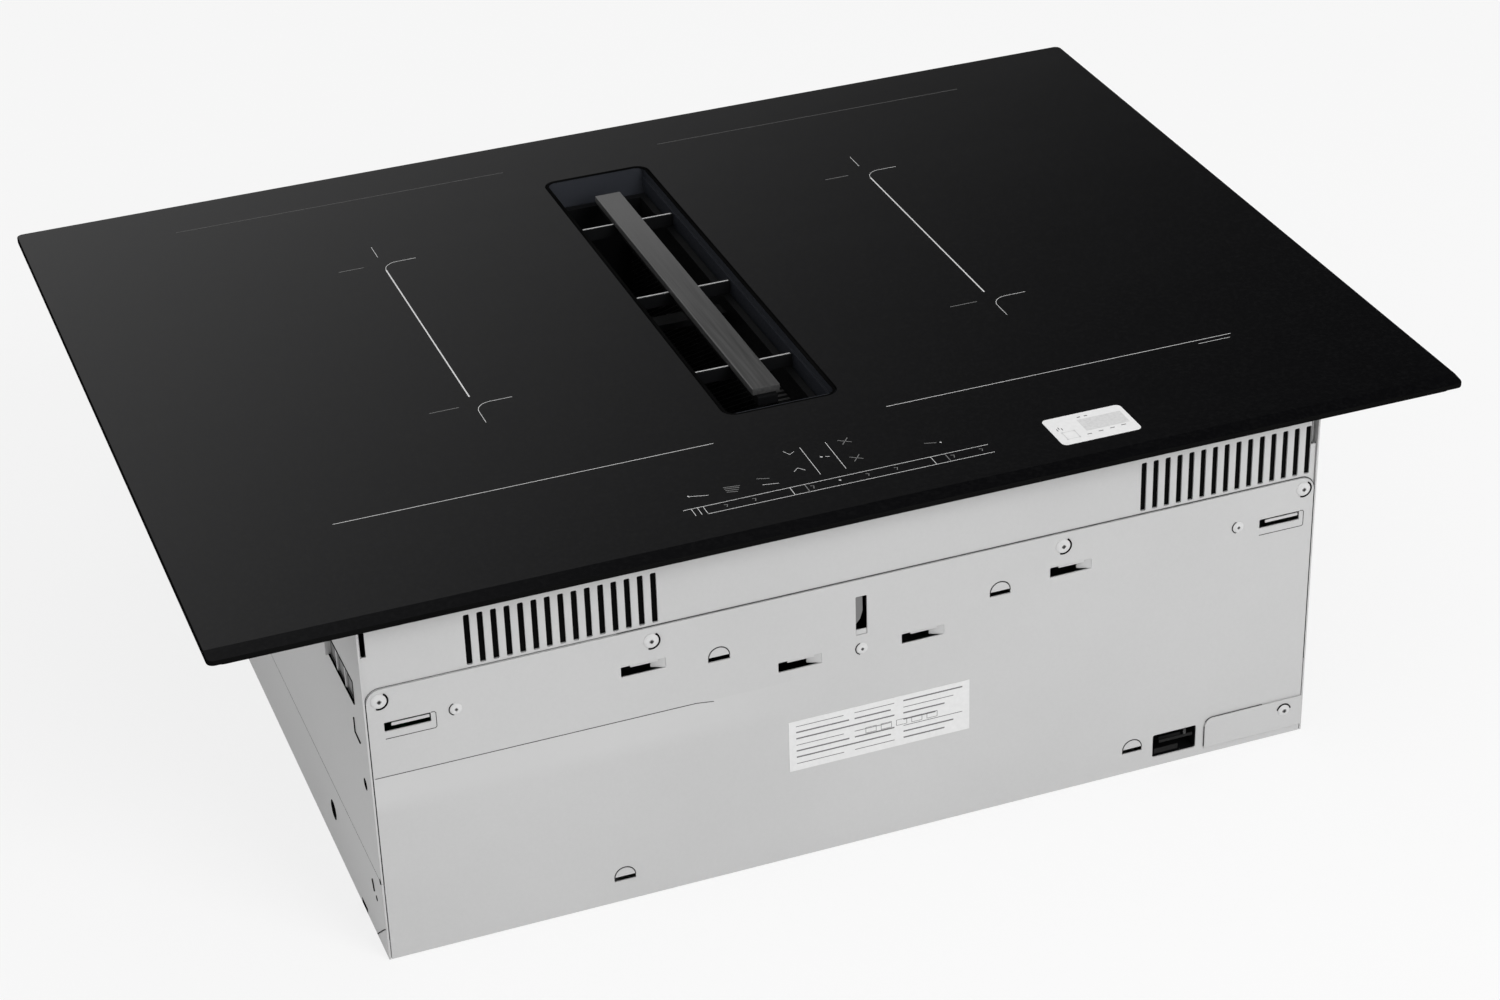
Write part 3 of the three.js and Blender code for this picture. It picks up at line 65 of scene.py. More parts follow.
# ---------- places taken from the frame ----------
glass_lo, glass_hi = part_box("glass_panel")
front_lo, front_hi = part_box("front_panel")
side_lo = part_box("side_panel_left")[0]
tray_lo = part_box("upper_tray")[0]
collar_lo, collar_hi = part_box("inlet_collar")
bar_lo, bar_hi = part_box("inlet_grille")
TOP = glass_hi.z
UNDER = glass_lo.z
SIDE = abs(side_lo.x)
SEAM = front_hi.z
FRONT = front_lo.y
SLOT_Y = (collar_lo.y + collar_hi.y) / 2
ZONE_X = 157.6  # middle of each pair of cooking zones, in millimetres
CREASE_Z = 117.5  # pressed crease across the left of the front panel
PAN_SEAM = 50.0  # joint between a side panel and the wall of the pan


# ---------- node sockets as numbers ----------
class Sock:
    """A node's output that adds, multiplies and compares like a number."""

    def __init__(self, mat, out):
        self.mat, self.out = mat, out

    def op(self, kind, *others, swap=False):
        values = [self, *others]
        if swap:
            values = [others[0], self]
        return self.mat.node("ShaderNodeMath", {i: v for i, v in enumerate(values)}, operation=kind)

    def __add__(self, o):
        return self.op("ADD", o)

    def __radd__(self, o):
        return self.op("ADD", o, swap=True)

    def __sub__(self, o):
        return self.op("SUBTRACT", o)

    def __rsub__(self, o):
        return self.op("SUBTRACT", o, swap=True)

    def __mul__(self, o):
        return self.op("MULTIPLY", o)

    def __rmul__(self, o):
        return self.op("MULTIPLY", o, swap=True)

    def __truediv__(self, o):
        return self.op("DIVIDE", o)

    def __rtruediv__(self, o):
        return self.op("DIVIDE", o, swap=True)

    def __gt__(self, o):
        return self.op("GREATER_THAN", o)

    def __lt__(self, o):
        return self.op("LESS_THAN", o)


class Nodes:
    """A node tree, with one method that adds any node to it."""

    def __init__(self, tree):
        self.tree = tree

    def feed(self, socket, value):
        if isinstance(value, Sock):
            self.tree.links.new(value.out, socket)
        else:
            socket.default_value = value

    def node(self, kind, inputs=None, out=0, **props):
        n = self.tree.nodes.new(kind)
        for key, value in props.items():
            setattr(n, key, value)
        for key, value in (inputs or {}).items():
            self.feed(n.inputs[key], value)
        return Sock(self, n.outputs[out])

    def seen(self):
        """1 for rays from the camera and from polished or clear surfaces, otherwise 0."""
        path = [self.node("ShaderNodeLightPath", out=name)
                for name in ("Is Camera Ray", "Is Glossy Ray", "Is Transmission Ray")]
        return path[0].op("MAXIMUM", path[1]).op("MAXIMUM", path[2])


class Mat(Nodes):
    """A material with one Principled shader, and helpers that add nodes to it."""

    def __init__(self, name, color, rough, metal=0.0, **constants):
        self.m = bpy.data.materials.new(name)
        self.m.use_nodes = True
        super().__init__(self.m.node_tree)
        self.bsdf = self.tree.nodes["Principled BSDF"]
        self.set("Base Color", (*color, 1))
        self.set("Roughness", rough)
        self.set("Metallic", metal)
        for key, value in constants.items():
            self.set(key.replace("_", " "), value)

    def set(self, name, value):
        self.feed(self.bsdf.inputs[name], value)

    def place(self, stretch=(1, 1, 1)):
        spot = self.node("ShaderNodeTexCoord", out="Object")
        return self.node("ShaderNodeVectorMath", {0: spot, 1: stretch}, operation="MULTIPLY")

    def axis(self, letter):
        spot = self.node("ShaderNodeTexCoord", out="Object")
        return self.node("ShaderNodeSeparateXYZ", {0: spot}, out=letter)

    def noise(self, scale, detail=3.0, stretch=(1, 1, 1), rough=0.5):
        return self.node("ShaderNodeTexNoise", {"Vector": self.place(stretch), "Scale": scale,
                                                "Detail": detail, "Roughness": rough})

    def spread(self, value, low, high, a=0.3, b=0.7):
        """Maps value from a..b to low..high."""
        return self.node("ShaderNodeMapRange", {"Value": value, "From Min": a, "From Max": b,
                                                "To Min": low, "To Max": high})

    def blend(self, factor, a, b):
        n = self.tree.nodes.new("ShaderNodeMix")
        n.data_type = "RGBA"
        self.feed(n.inputs[0], factor)
        for socket, value in ((n.inputs[6], a), (n.inputs[7], b)):
            self.feed(socket, value if isinstance(value, Sock) else (*value, 1))
        return Sock(self, n.outputs[2])

    def bump(self, height, strength, distance=0.0005):
        self.set("Normal", self.node("ShaderNodeBump", {"Height": height, "Strength": strength,
                                                        "Distance": distance}))


def grey(level):
    """Linear value of an sRGB grey from 0 to 255."""
    c = level / 255
    return c / 12.92 if c <= 0.04045 else ((c + 0.055) / 1.055) ** 2.4


def greys(level):
    return (grey(level),) * 3


# ---------- materials ----------
def sheet_steel(name, level, pressed=False):
    """Zinc-coated sheet: faint cloudy tone and fine grain; with pressed set, also a painted highlight, a
    lighter band under the pressed crease where light falls on the bent sheet.
    """
    m = Mat(name, greys(level), 0.5, 0.1, Specular_IOR_Level=0.25)
    cloud = m.noise(7.0, 3.0)
    fine = m.noise(520.0, 2.0)
    tone = m.spread(cloud, -0.35, 0.35) + m.spread(fine, -0.12, 0.12)
    color = m.blend(tone + 0.5, greys(level - 4), greys(level + 3))
    # Painted highlight: a lighter band on the left under the pressed crease, standing in for light falling
    # on the bent sheet.
    if pressed:
        start, full, crease, end = 0.093, 0.103, 0.1170, 0.1174  # heights
        full_x, last_x = -0.15, -0.02
        x, z = m.axis("X"), m.axis("Z")
        band = m.spread(z, 0, 1, start, full) * m.spread(z, 1, 0, crease, end)
        band = band * m.spread(x, 1, 0, full_x, last_x)
        color = m.blend(band, color, greys(level + 5))
    m.set("Base Color", color)
    m.set("Roughness", m.spread(cloud, 0.46, 0.56))
    m.bump(fine, 0.04, 0.0002)
    return m.m


def plastic(name, level, rough=0.5, tint=(1, 1, 1), shine=0.15):
    """Moulded plastic with a fine spark-eroded grain."""
    base = tuple(grey(level) * t for t in tint)
    light = tuple(min(1, v * 1.18 + 0.002) for v in base)
    m = Mat(name, base, rough, Specular_IOR_Level=shine)
    grain = m.noise(900.0, 2.0)
    cloud = m.noise(14.0, 3.0)
    m.set("Base Color", m.blend(m.spread(cloud, 0, 1), base, light))
    m.set("Roughness", m.spread(grain, rough - 0.06, rough + 0.08))
    m.bump(grain, 0.12, 0.0002)
    return m.m


def black_glass():
    """Polished ceramic glass, nearly black, with traces of wiping."""
    m = Mat("black_glass", (0.004, 0.004, 0.0045), 0.07)
    wipe = m.noise(7.0, 5.0, (1.0, 3.5, 1.0), 0.62)
    speck = m.noise(420.0, 2.0)
    m.set("Base Color", m.blend(m.spread(speck, 0, 1, 0.45, 0.75), (0.0035, 0.0035, 0.004),
                                (0.0060, 0.0060, 0.0065)))
    m.set("Roughness", m.spread(wipe, 0.05, 0.11))
    return m.m


def bar_metal():
    """Dark anodised aluminium, brushed along its length."""
    m = Mat("bar_metal", greys(70), 0.42, 0.55)
    lines = m.noise(700.0, 3.0, (1.0, 0.03, 1.0))
    m.set("Base Color", m.blend(m.spread(lines, 0, 1), greys(86), greys(104)))
    m.set("Roughness", m.spread(lines, 0.36, 0.48))
    m.bump(lines, 0.08, 0.0002)
    return m.m


def foam():
    """Closed-cell sealing tape."""
    m = Mat("foam_tape", greys(20), 0.9, Specular_IOR_Level=0.0)
    cells = m.node("ShaderNodeTexVoronoi", {"Vector": m.place(), "Scale": 900.0})
    m.set("Base Color", m.blend(m.spread(cells, 0, 1, 0.1, 0.7), greys(14), greys(27)))
    m.bump(cells, 0.4, 0.0004)
    return m.m


def filter_mesh():
    """Layers of expanded metal: open diamonds with bright strands."""
    along, upright = 620.0, 980.0  # radians for each metre
    crest, foot = 0.12, 0.3
    m = Mat("filter_mesh", greys(170), 0.35, 0.9)
    y, z = m.axis("Y") * along, m.axis("Z") * upright
    a, b = (y + z).op("SINE"), (y - z).op("SINE")
    strand = a.op("ABSOLUTE").op("MINIMUM", b.op("ABSOLUTE"))
    m.set("Base Color", m.blend(m.spread(strand, 0, 1, crest, foot), greys(150), greys(24)))
    m.set("Roughness", m.spread(strand, 0.3, 0.7, crest, foot))
    m.bump(strand, -0.6, 0.0008)
    return m.m


def bare_metal(name, level, rough, tint=(1, 1, 1), stretch=(1, 1, 1)):
    """Machined or drawn metal with fine marks."""
    base = tuple(grey(level) * t for t in tint)
    m = Mat(name, base, rough, 0.85)
    marks = m.noise(500.0, 3.0, stretch)
    m.set("Base Color", m.blend(m.spread(marks, 0, 1), tuple(v * 0.86 for v in base), base))
    m.set("Roughness", m.spread(marks, rough - 0.07, rough + 0.07))
    m.bump(marks, 0.08, 0.0002)
    return m.m


def litz():
    """Wound litz wire, in turns round each coil's centre."""
    middle_y, coil_y = 0.0325, 0.0955  # between the coils, and from there to a coil's centre
    squeeze, winding = 0.76, 2200.0
    gap_color, wire_color = (0.12, 0.045, 0.02), (0.62, 0.27, 0.12)
    m = Mat("copper", (0.55, 0.22, 0.09), 0.4, 0.8)
    x = m.axis("X").op("ABSOLUTE") - ZONE_X * MM
    y = (m.axis("Y") - middle_y).op("ABSOLUTE") - coil_y
    turn = (x * x * squeeze + y * y).op("SQRT")
    ripple = (turn * winding).op("SINE")
    m.set("Base Color", m.blend(m.spread(ripple, 0, 1, -0.9, 0.2), gap_color, wire_color))
    m.bump(ripple, 0.5, 0.0006)
    return m.m


def board():
    """Solder mask over copper tracks."""
    m = Mat("board", (0.015, 0.09, 0.035), 0.35)
    cells = m.node("ShaderNodeTexVoronoi", {"Vector": m.place((1, 1, 0.3)), "Scale": 170.0},
                   distance="CHEBYCHEV", feature="F1")
    track = m.spread(cells, 0, 1, 0.32, 0.36)
    m.set("Base Color", m.blend(track, (0.012, 0.075, 0.03), (0.03, 0.17, 0.07)))
    m.bump(track, 0.15, 0.0001)
    return m.m


def ceramic(name, color):
    """Sintered or layered mineral, a little flaky."""
    m = Mat(name, color, 0.7)
    flake = m.noise(160.0, 4.0)
    m.set("Base Color", m.blend(m.spread(flake, 0, 1), tuple(v * 0.75 for v in color), color))
    m.bump(flake, 0.2, 0.0003)
    return m.m


def printed(name, level):
    """Screen print: a little uneven in its cover."""
    m = Mat(name, greys(level), 0.4)
    cover = m.noise(800.0, 2.0)
    m.set("Base Color", m.blend(m.spread(cover, 0, 1), greys(level - 14), greys(level)))
    return m.m


def film(name, level, rough):
    """Self-adhesive film with a faint texture."""
    m = Mat(name, greys(level), rough, Coat_Weight=0.25)
    weave = m.noise(350.0, 3.0)
    m.set("Base Color", m.blend(m.spread(weave, 0, 1), greys(level - 4), greys(level + 2)))
    m.set("Roughness", m.spread(weave, rough - 0.05, rough + 0.06))
    return m.m


MATS = {
    "black_glass": black_glass(),
    "foam_tape": foam(),
    "label_paper": film("label_paper", 250, 0.4),
    "steel_sheet": sheet_steel("steel_sheet", 194),
    "black_plastic": plastic("black_plastic", 14, 0.5, (1.0, 1.04, 1.15)),
    "filter_mesh": filter_mesh(),
    "bar_metal": bar_metal(),
    "grey_plastic": plastic("grey_plastic", 140, 0.5, (1.0, 1.0, 1.02)),
    "aluminium": bare_metal("aluminium", 196, 0.36, stretch=(1, 0.05, 1)),
    "shaft_steel": bare_metal("shaft_steel", 176, 0.3, stretch=(1, 1, 0.05)),
    "copper": litz(),
    "ferrite": ceramic("ferrite", (0.045, 0.045, 0.05)),
    "white_plastic": plastic("white_plastic", 218, 0.45, (1.0, 0.99, 0.95)),
    "mica": ceramic("mica", (0.45, 0.37, 0.25)),
    "board": board(),
    "rubber": plastic("rubber", 26, 0.75),
}
PRINT = printed("print_grey", 240)
PRINT_DIM = printed("print_dim", 128)
INK = printed("label_ink", 112)
FAINT = printed("label_rule", 232)
# Front sheet with the painted highlight under its crease.
SHEENED_SHEET = sheet_steel("pressed_sheet_sheen", 194, pressed=True)
SCREW = sheet_steel("screw_zinc", 208)
# Dull black with no reflection: painted shade in gaps, holes, slits and behind openings, and also the dark
# joints between panels.
JOINT_AND_SHADE_BLACK = plastic("joint_and_shade_black", 8, 0.9, shine=0.0)
# Light strips: a painted highlight on the tops of the grille's ribs.
RIB_HIGHLIGHT = sheet_steel("rib_top_highlight", 196)
# Darker copy of the zinc sheet: painted shade, for sheet seen deep in openings and in the screws' cross
# recesses.
SHADED_SHEET = sheet_steel("sheet_in_shade", 118)
PRINT_FAR = printed("print_far", 78)
SHADE = plastic("steel_shade", 66, 0.7, shine=0.0)
GROUND = plastic("ground_edge", 12, 0.8, shine=0.0)

for entry in frame["record"]["subparts"]:
    holder = nodes[entry["node"]].data.materials
    holder.clear()
    holder.append(MATS[entry["material_slot"]])
nodes["rating_plate"].data.materials[0] = film("plate_film", 220, 0.4)
nodes["inlet_collar"].data.materials[0] = plastic("inlet_plastic", 38, 0.5, (0.92, 1.02, 1.3))


# ---------- outlines ----------
def arc(cx, cy, r, a0, a1, n=6):
    return [(cx + r * math.cos(math.radians(a0 + (a1 - a0) * i / n)),
             cy + r * math.sin(math.radians(a0 + (a1 - a0) * i / n))) for i in range(n + 1)]


def rounded(cx, cy, w, h, r, n=6):
    x, y = w / 2 - r, h / 2 - r
    return (arc(cx + x, cy + y, r, 0, 90, n) + arc(cx - x, cy + y, r, 90, 180, n)
            + arc(cx - x, cy - y, r, 180, 270, n) + arc(cx + x, cy - y, r, 270, 360, n))


def span(a, b):
    return min(a, b), max(a, b)


def area(points):
    """Signed area of an outline, above 0 when it runs anticlockwise."""
    return sum(a[0] * b[1] - b[0] * a[1] for a, b in zip(points, points[1:] + points[:1])) / 2


PLANES = {
    "xy": Matrix(((1, 0, 0, 0), (0, 1, 0, 0), (0, 0, 1, 0), (0, 0, 0, 1))),
    "xz": Matrix(((1, 0, 0, 0), (0, 0, -1, 0), (0, 1, 0, 0), (0, 0, 0, 1))),
    "yz": Matrix(((0, 0, 1, 0), (1, 0, 0, 0), (0, 1, 0, 0), (0, 0, 0, 1))),
}


def finished(name, mesh, material, body, angle=20):
    """Puts a mesh into the scene as a piece that rides on a body. Edges above the angle stay sharp."""
    mesh.name = name
    mesh.materials.clear()
    for m in material if isinstance(material, list) else [material]:
        mesh.materials.append(m)
    mesh.polygons.foreach_set("use_smooth", [True] * len(mesh.polygons))
    mesh.set_sharp_from_angle(angle=math.radians(angle))
    piece = bpy.data.objects.new(name, mesh)
    scene.collection.objects.link(piece)
    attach(piece, body)
    return piece


def settled(obj):
    """The object's evaluated mesh, in the row frame. The object itself goes."""
    bpy.context.view_layer.update()
    evaluated = obj.evaluated_get(bpy.context.evaluated_depsgraph_get())
    mesh = bpy.data.meshes.new_from_object(evaluated)
    mesh.transform(obj.matrix_world)
    bpy.data.objects.remove(obj)
    return mesh


def plate_mesh(outline, holes, lo, hi, plane, bevel=0.0002):
    """Sheet in a plane, from lo to hi across it, with its edges and holes rounded."""
    curve = bpy.data.curves.new("plate", "CURVE")
    curve.dimensions = "2D"
    curve.fill_mode = "BOTH"
    curve.extrude = (hi - lo) / 2 - bevel
    curve.bevel_depth = bevel
    curve.bevel_resolution = 1
    curve.offset = -bevel
    for i, points in enumerate([outline, *holes]):
        if (area(points) > 0) != (i == 0):
            points = points[::-1]
        spline = curve.splines.new("POLY")
        spline.points.add(len(points) - 1)
        for p, (x, y) in zip(spline.points, points):
            p.co = (x, y, 0, 1)
        spline.use_cyclic_u = True
    obj = bpy.data.objects.new("plate", curve)
    scene.collection.objects.link(obj)
    across = -(lo + hi) / 2 if plane == "xz" else (lo + hi) / 2
    obj.matrix_world = PLANES[plane] @ Matrix.Translation((0, 0, across))
    mesh = settled(obj)
    bm = bmesh.new()
    bm.from_mesh(mesh)
    bmesh.ops.remove_doubles(bm, verts=bm.verts, dist=1e-6)
    bmesh.ops.recalc_face_normals(bm, faces=bm.faces)
    bm.to_mesh(mesh)
    bm.free()
    return mesh


def merged(*meshes):
    """Several meshes as one."""
    bm = bmesh.new()
    for mesh in meshes:
        bm.from_mesh(mesh)
    out = bpy.data.meshes.new("merged")
    bm.to_mesh(out)
    bm.free()
    return out


def block_mesh(x0, x1, y0, y1, z0, z1, bevel=0.0003, segments=2):
    """Block with rounded edges."""
    bm = bmesh.new()
    bmesh.ops.create_cube(bm, size=1.0)
    for v in bm.verts:
        v.co = Vector((x0 if v.co.x < 0 else x1, y0 if v.co.y < 0 else y1, z0 if v.co.z < 0 else z1))
    bmesh.ops.bevel(bm, geom=bm.edges[:], offset=bevel, segments=segments, affect="EDGES", profile=0.5)
    bmesh.ops.recalc_face_normals(bm, faces=bm.faces)
    mesh = bpy.data.meshes.new("block")
    bm.to_mesh(mesh)
    bm.free()
    return mesh


# ---------- Geometry Nodes ----------
class Tree:
    """A Geometry Nodes tree with named inputs."""

    def __init__(self, name, **inputs):
        self.t = bpy.data.node_groups.new(name, "GeometryNodeTree")
        face = self.t.interface
        face.new_socket("Geometry", in_out="INPUT", socket_type="NodeSocketGeometry")
        self.ids = {}
        for key, value in inputs.items():
            kind = "NodeSocketInt" if isinstance(value, int) else "NodeSocketFloat"
            item = face.new_socket(key, in_out="INPUT", socket_type=kind)
            item.default_value = value
            self.ids[key] = item.identifier
        item = face.new_socket("Material", in_out="INPUT", socket_type="NodeSocketMaterial")
        self.ids["Material"] = item.identifier
        face.new_socket("Geometry", in_out="OUTPUT", socket_type="NodeSocketGeometry")
        self.source = self.t.nodes.new("NodeGroupInput")
        self.end = self.t.nodes.new("NodeGroupOutput")

    def __getitem__(self, key):
        return self.source.outputs[key]

    def feed(self, socket, value):
        if isinstance(value, bpy.types.NodeSocket):
            self.t.links.new(value, socket)
        else:
            socket.default_value = value

    def node(self, kind, inputs=None, out=0, **props):
        n = self.t.nodes.new(kind)
        for key, value in props.items():
            setattr(n, key, value)
        for key, value in (inputs or {}).items():
            self.feed(n.inputs[key], value)
        return n.outputs[out]

    def close(self, geometry):
        real = self.node("GeometryNodeRealizeInstances", {0: geometry})
        done = self.node("GeometryNodeSetMaterial", {"Geometry": real, "Material": self["Material"]})
        self.t.links.new(done, self.end.inputs[0])

    def grow(self, mesh, **values):
        """The mesh that the tree makes from a starting mesh."""
        obj = bpy.data.objects.new("seed", mesh)
        scene.collection.objects.link(obj)
        modifier = obj.modifiers.new("grow", "NODES")
        modifier.node_group = self.t
        for key, value in values.items():
            modifier[self.ids[key]] = value
        return settled(obj)


def points_mesh(points):
    mesh = bpy.data.meshes.new("points")
    mesh.from_pydata([tuple(p) for p in points], [], [])
    return mesh


BAR_FACES = ((0, 1, 3, 2), (4, 6, 7, 5), (0, 4, 5, 1), (2, 3, 7, 6), (0, 2, 6, 4), (1, 5, 7, 3))


def bars_mesh(bars):
    """Thin plain bars, each given by its two corners in millimetres."""
    verts, faces = [], []
    for x0, x1, y0, y1, z0, z1 in bars:
        n = len(verts)
        verts += [(x * MM, y * MM, z * MM) for x in (x0, x1) for y in (y0, y1) for z in (z0, z1)]
        faces += [[n + corner for corner in face] for face in BAR_FACES]
    mesh = bpy.data.meshes.new("bars")
    mesh.from_pydata(verts, [], faces)
    return mesh


def lines_mesh(lines):
    """Polylines as edges."""
    verts, edges = [], []
    for line in lines:
        start = len(verts)
        verts += [tuple(p) for p in line]
        edges += [(start + i, start + i + 1) for i in range(len(line) - 1)]
    mesh = bpy.data.meshes.new("lines")
    mesh.from_pydata(verts, edges, [])
    return mesh


def stroke_tree(flat):
    """Sweeps a section along every line: flat prints on the glass, or square cords in any plane."""
    t = Tree("prints" if flat else "cords", Width=0.001, Height=0.00005)
    curve = t.node("GeometryNodeMeshToCurve", {0: t["Geometry"]})
    if flat:
        curve = t.node("GeometryNodeSetCurveNormal", {"Curve": curve}, mode="Z_UP")
    section = t.node("GeometryNodeCurvePrimitiveQuadrilateral",
                     {"Width": t["Width"], "Height": t["Height"]})
    swept = t.node("GeometryNodeCurveToMesh", {"Curve": curve, "Profile Curve": section,
                                               "Fill Caps": True})
    t.close(swept)
    return t


def screw_tree():
    """Puts a pan head on every point, its axis along -Y."""
    t = Tree("screws", Radius=0.0045, Height=0.002)
    ball = t.node("GeometryNodeMeshUVSphere", {"Segments": 24, "Rings": 12, "Radius": t["Radius"]})
    ratio = t.node("ShaderNodeMath", {0: t["Height"], 1: t["Radius"]}, operation="DIVIDE")
    size = t.node("ShaderNodeCombineXYZ", {"X": 1.0, "Y": ratio, "Z": 1.0})
    turned = t.node("GeometryNodeTransform", {"Geometry": ball, "Rotation": (math.pi / 2, 0, 0)})
    flat = t.node("GeometryNodeTransform", {"Geometry": turned, "Scale": size})
    t.close(t.node("GeometryNodeInstanceOnPoints", {"Points": t["Geometry"], "Instance": flat}))
    return t


def cross_tree():
    """Puts a cross recess on every point, facing -Y."""
    t = Tree("recesses", Radius=0.0025, Depth=0.0008)
    thin = t.node("ShaderNodeMath", {0: t["Radius"], 1: 0.5}, operation="MULTIPLY")
    size_a = t.node("ShaderNodeCombineXYZ", {"X": t["Radius"], "Y": t["Depth"], "Z": thin})
    size_b = t.node("ShaderNodeCombineXYZ", {"X": thin, "Y": t["Depth"], "Z": t["Radius"]})
    a = t.node("GeometryNodeMeshCube", {"Size": size_a})
    b = t.node("GeometryNodeMeshCube", {"Size": size_b})
    both = t.t.nodes.new("GeometryNodeJoinGeometry")
    t.t.links.new(a, both.inputs[0])
    t.t.links.new(b, both.inputs[0])
    t.close(t.node("GeometryNodeInstanceOnPoints", {"Points": t["Geometry"],
                                                    "Instance": both.outputs[0]}))
    return t


MARK_DEPTH = 0.0005  # thickness of the cross marks on the screws
PRINTS = stroke_tree(True)
CORDS = stroke_tree(False)
SCREWS = screw_tree()
CROSSES = cross_tree()


def cord(lines, width, material):
    """Square cords along lines."""
    return CORDS.grow(lines_mesh(lines), Width=width, Height=width, Material=material)


# ---------- camera ----------
LENS = 80.585
SENSOR = 36.0
CAMERA_PLACE = (-0.57429, -1.65721, 1.12103)
right = Vector((0.9337522, -0.3567377, -0.0290712))
up = Vector((0.2045120, 0.4651159, 0.8613025))
back = Vector((-0.2937376, -0.8101885, 0.5072601))
camera_data = bpy.data.cameras.new("camera")
camera_data.sensor_fit = "HORIZONTAL"
camera_data.sensor_width = SENSOR
camera_data.lens = LENS
camera = bpy.data.objects.new("camera", camera_data)
scene.collection.objects.link(camera)
turn = Matrix((right, up, back)).transposed().to_4x4()
camera.matrix_world = Matrix.Translation(CAMERA_PLACE) @ turn
scene.camera = camera


# ---------- glass plate ----------
SLOT_WIDTH = 0.068
SLOT_LENGTH = 0.330
SLOT_CORNER = 0.008
GLASS_CORNER = 0.004
FACET_WIDTH = 0.010
FACET_DROP = 0.0014
POLISHED = 0.95  # least upward part of a polished face's normal


def glass_plate():
    """Plate with the air slot and a ground slope along its front edge."""
    w, d = glass_hi.x - glass_lo.x, glass_hi.y - glass_lo.y
    outline = rounded(0, 0, w, d, GLASS_CORNER, 8)
    hole = rounded(0, SLOT_Y, SLOT_WIDTH, SLOT_LENGTH, SLOT_CORNER, 8)
    mesh = plate_mesh(outline, [hole], UNDER, TOP, "xy", 0.0005)
    bm = bmesh.new()
    bm.from_mesh(mesh)
    line = glass_lo.y + FACET_WIDTH
    bmesh.ops.bisect_plane(bm, geom=bm.verts[:] + bm.edges[:] + bm.faces[:], dist=1e-7,
                           plane_co=(0, line, 0), plane_no=(0, 1, 0))
    middle = (UNDER + TOP) / 2
    for v in bm.verts:
        if v.co.z > middle and v.co.y < line:
            v.co.z -= FACET_DROP * min(1.0, (line - v.co.y) / FACET_WIDTH)
    bm.to_mesh(mesh)
    bm.free()
    piece = finished("glass_plate", mesh, [MATS["black_glass"], GROUND], "housing", 4)
    # The edges and the underside are ground, not polished.
    for face in mesh.polygons:
        face.material_index = int(face.normal.z < POLISHED)
    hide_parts("glass_panel")


glass_plate()


def slot_gap_shade():
    """Black ring round the rim of the air inlet, all round the slot: painted shade standing in for the dark
    gap between the glass and the inlet's rim.
    """
    gap, side_ring, end_ring, thick = 0.0003, 0.0019, 0.0011, 0.0003
    w, d, z = SLOT_WIDTH - 2 * gap, SLOT_LENGTH - 2 * gap, collar_hi.z
    inner = rounded(0, SLOT_Y, w - 2 * side_ring, d - 2 * end_ring, SLOT_CORNER - 0.002, 8)
    mesh = plate_mesh(rounded(0, SLOT_Y, w, d, SLOT_CORNER, 8), [inner], z, z + thick, "xy", 0.00005)
    finished("slot_gap_shade", mesh, JOINT_AND_SHADE_BLACK, "housing")


slot_gap_shade()


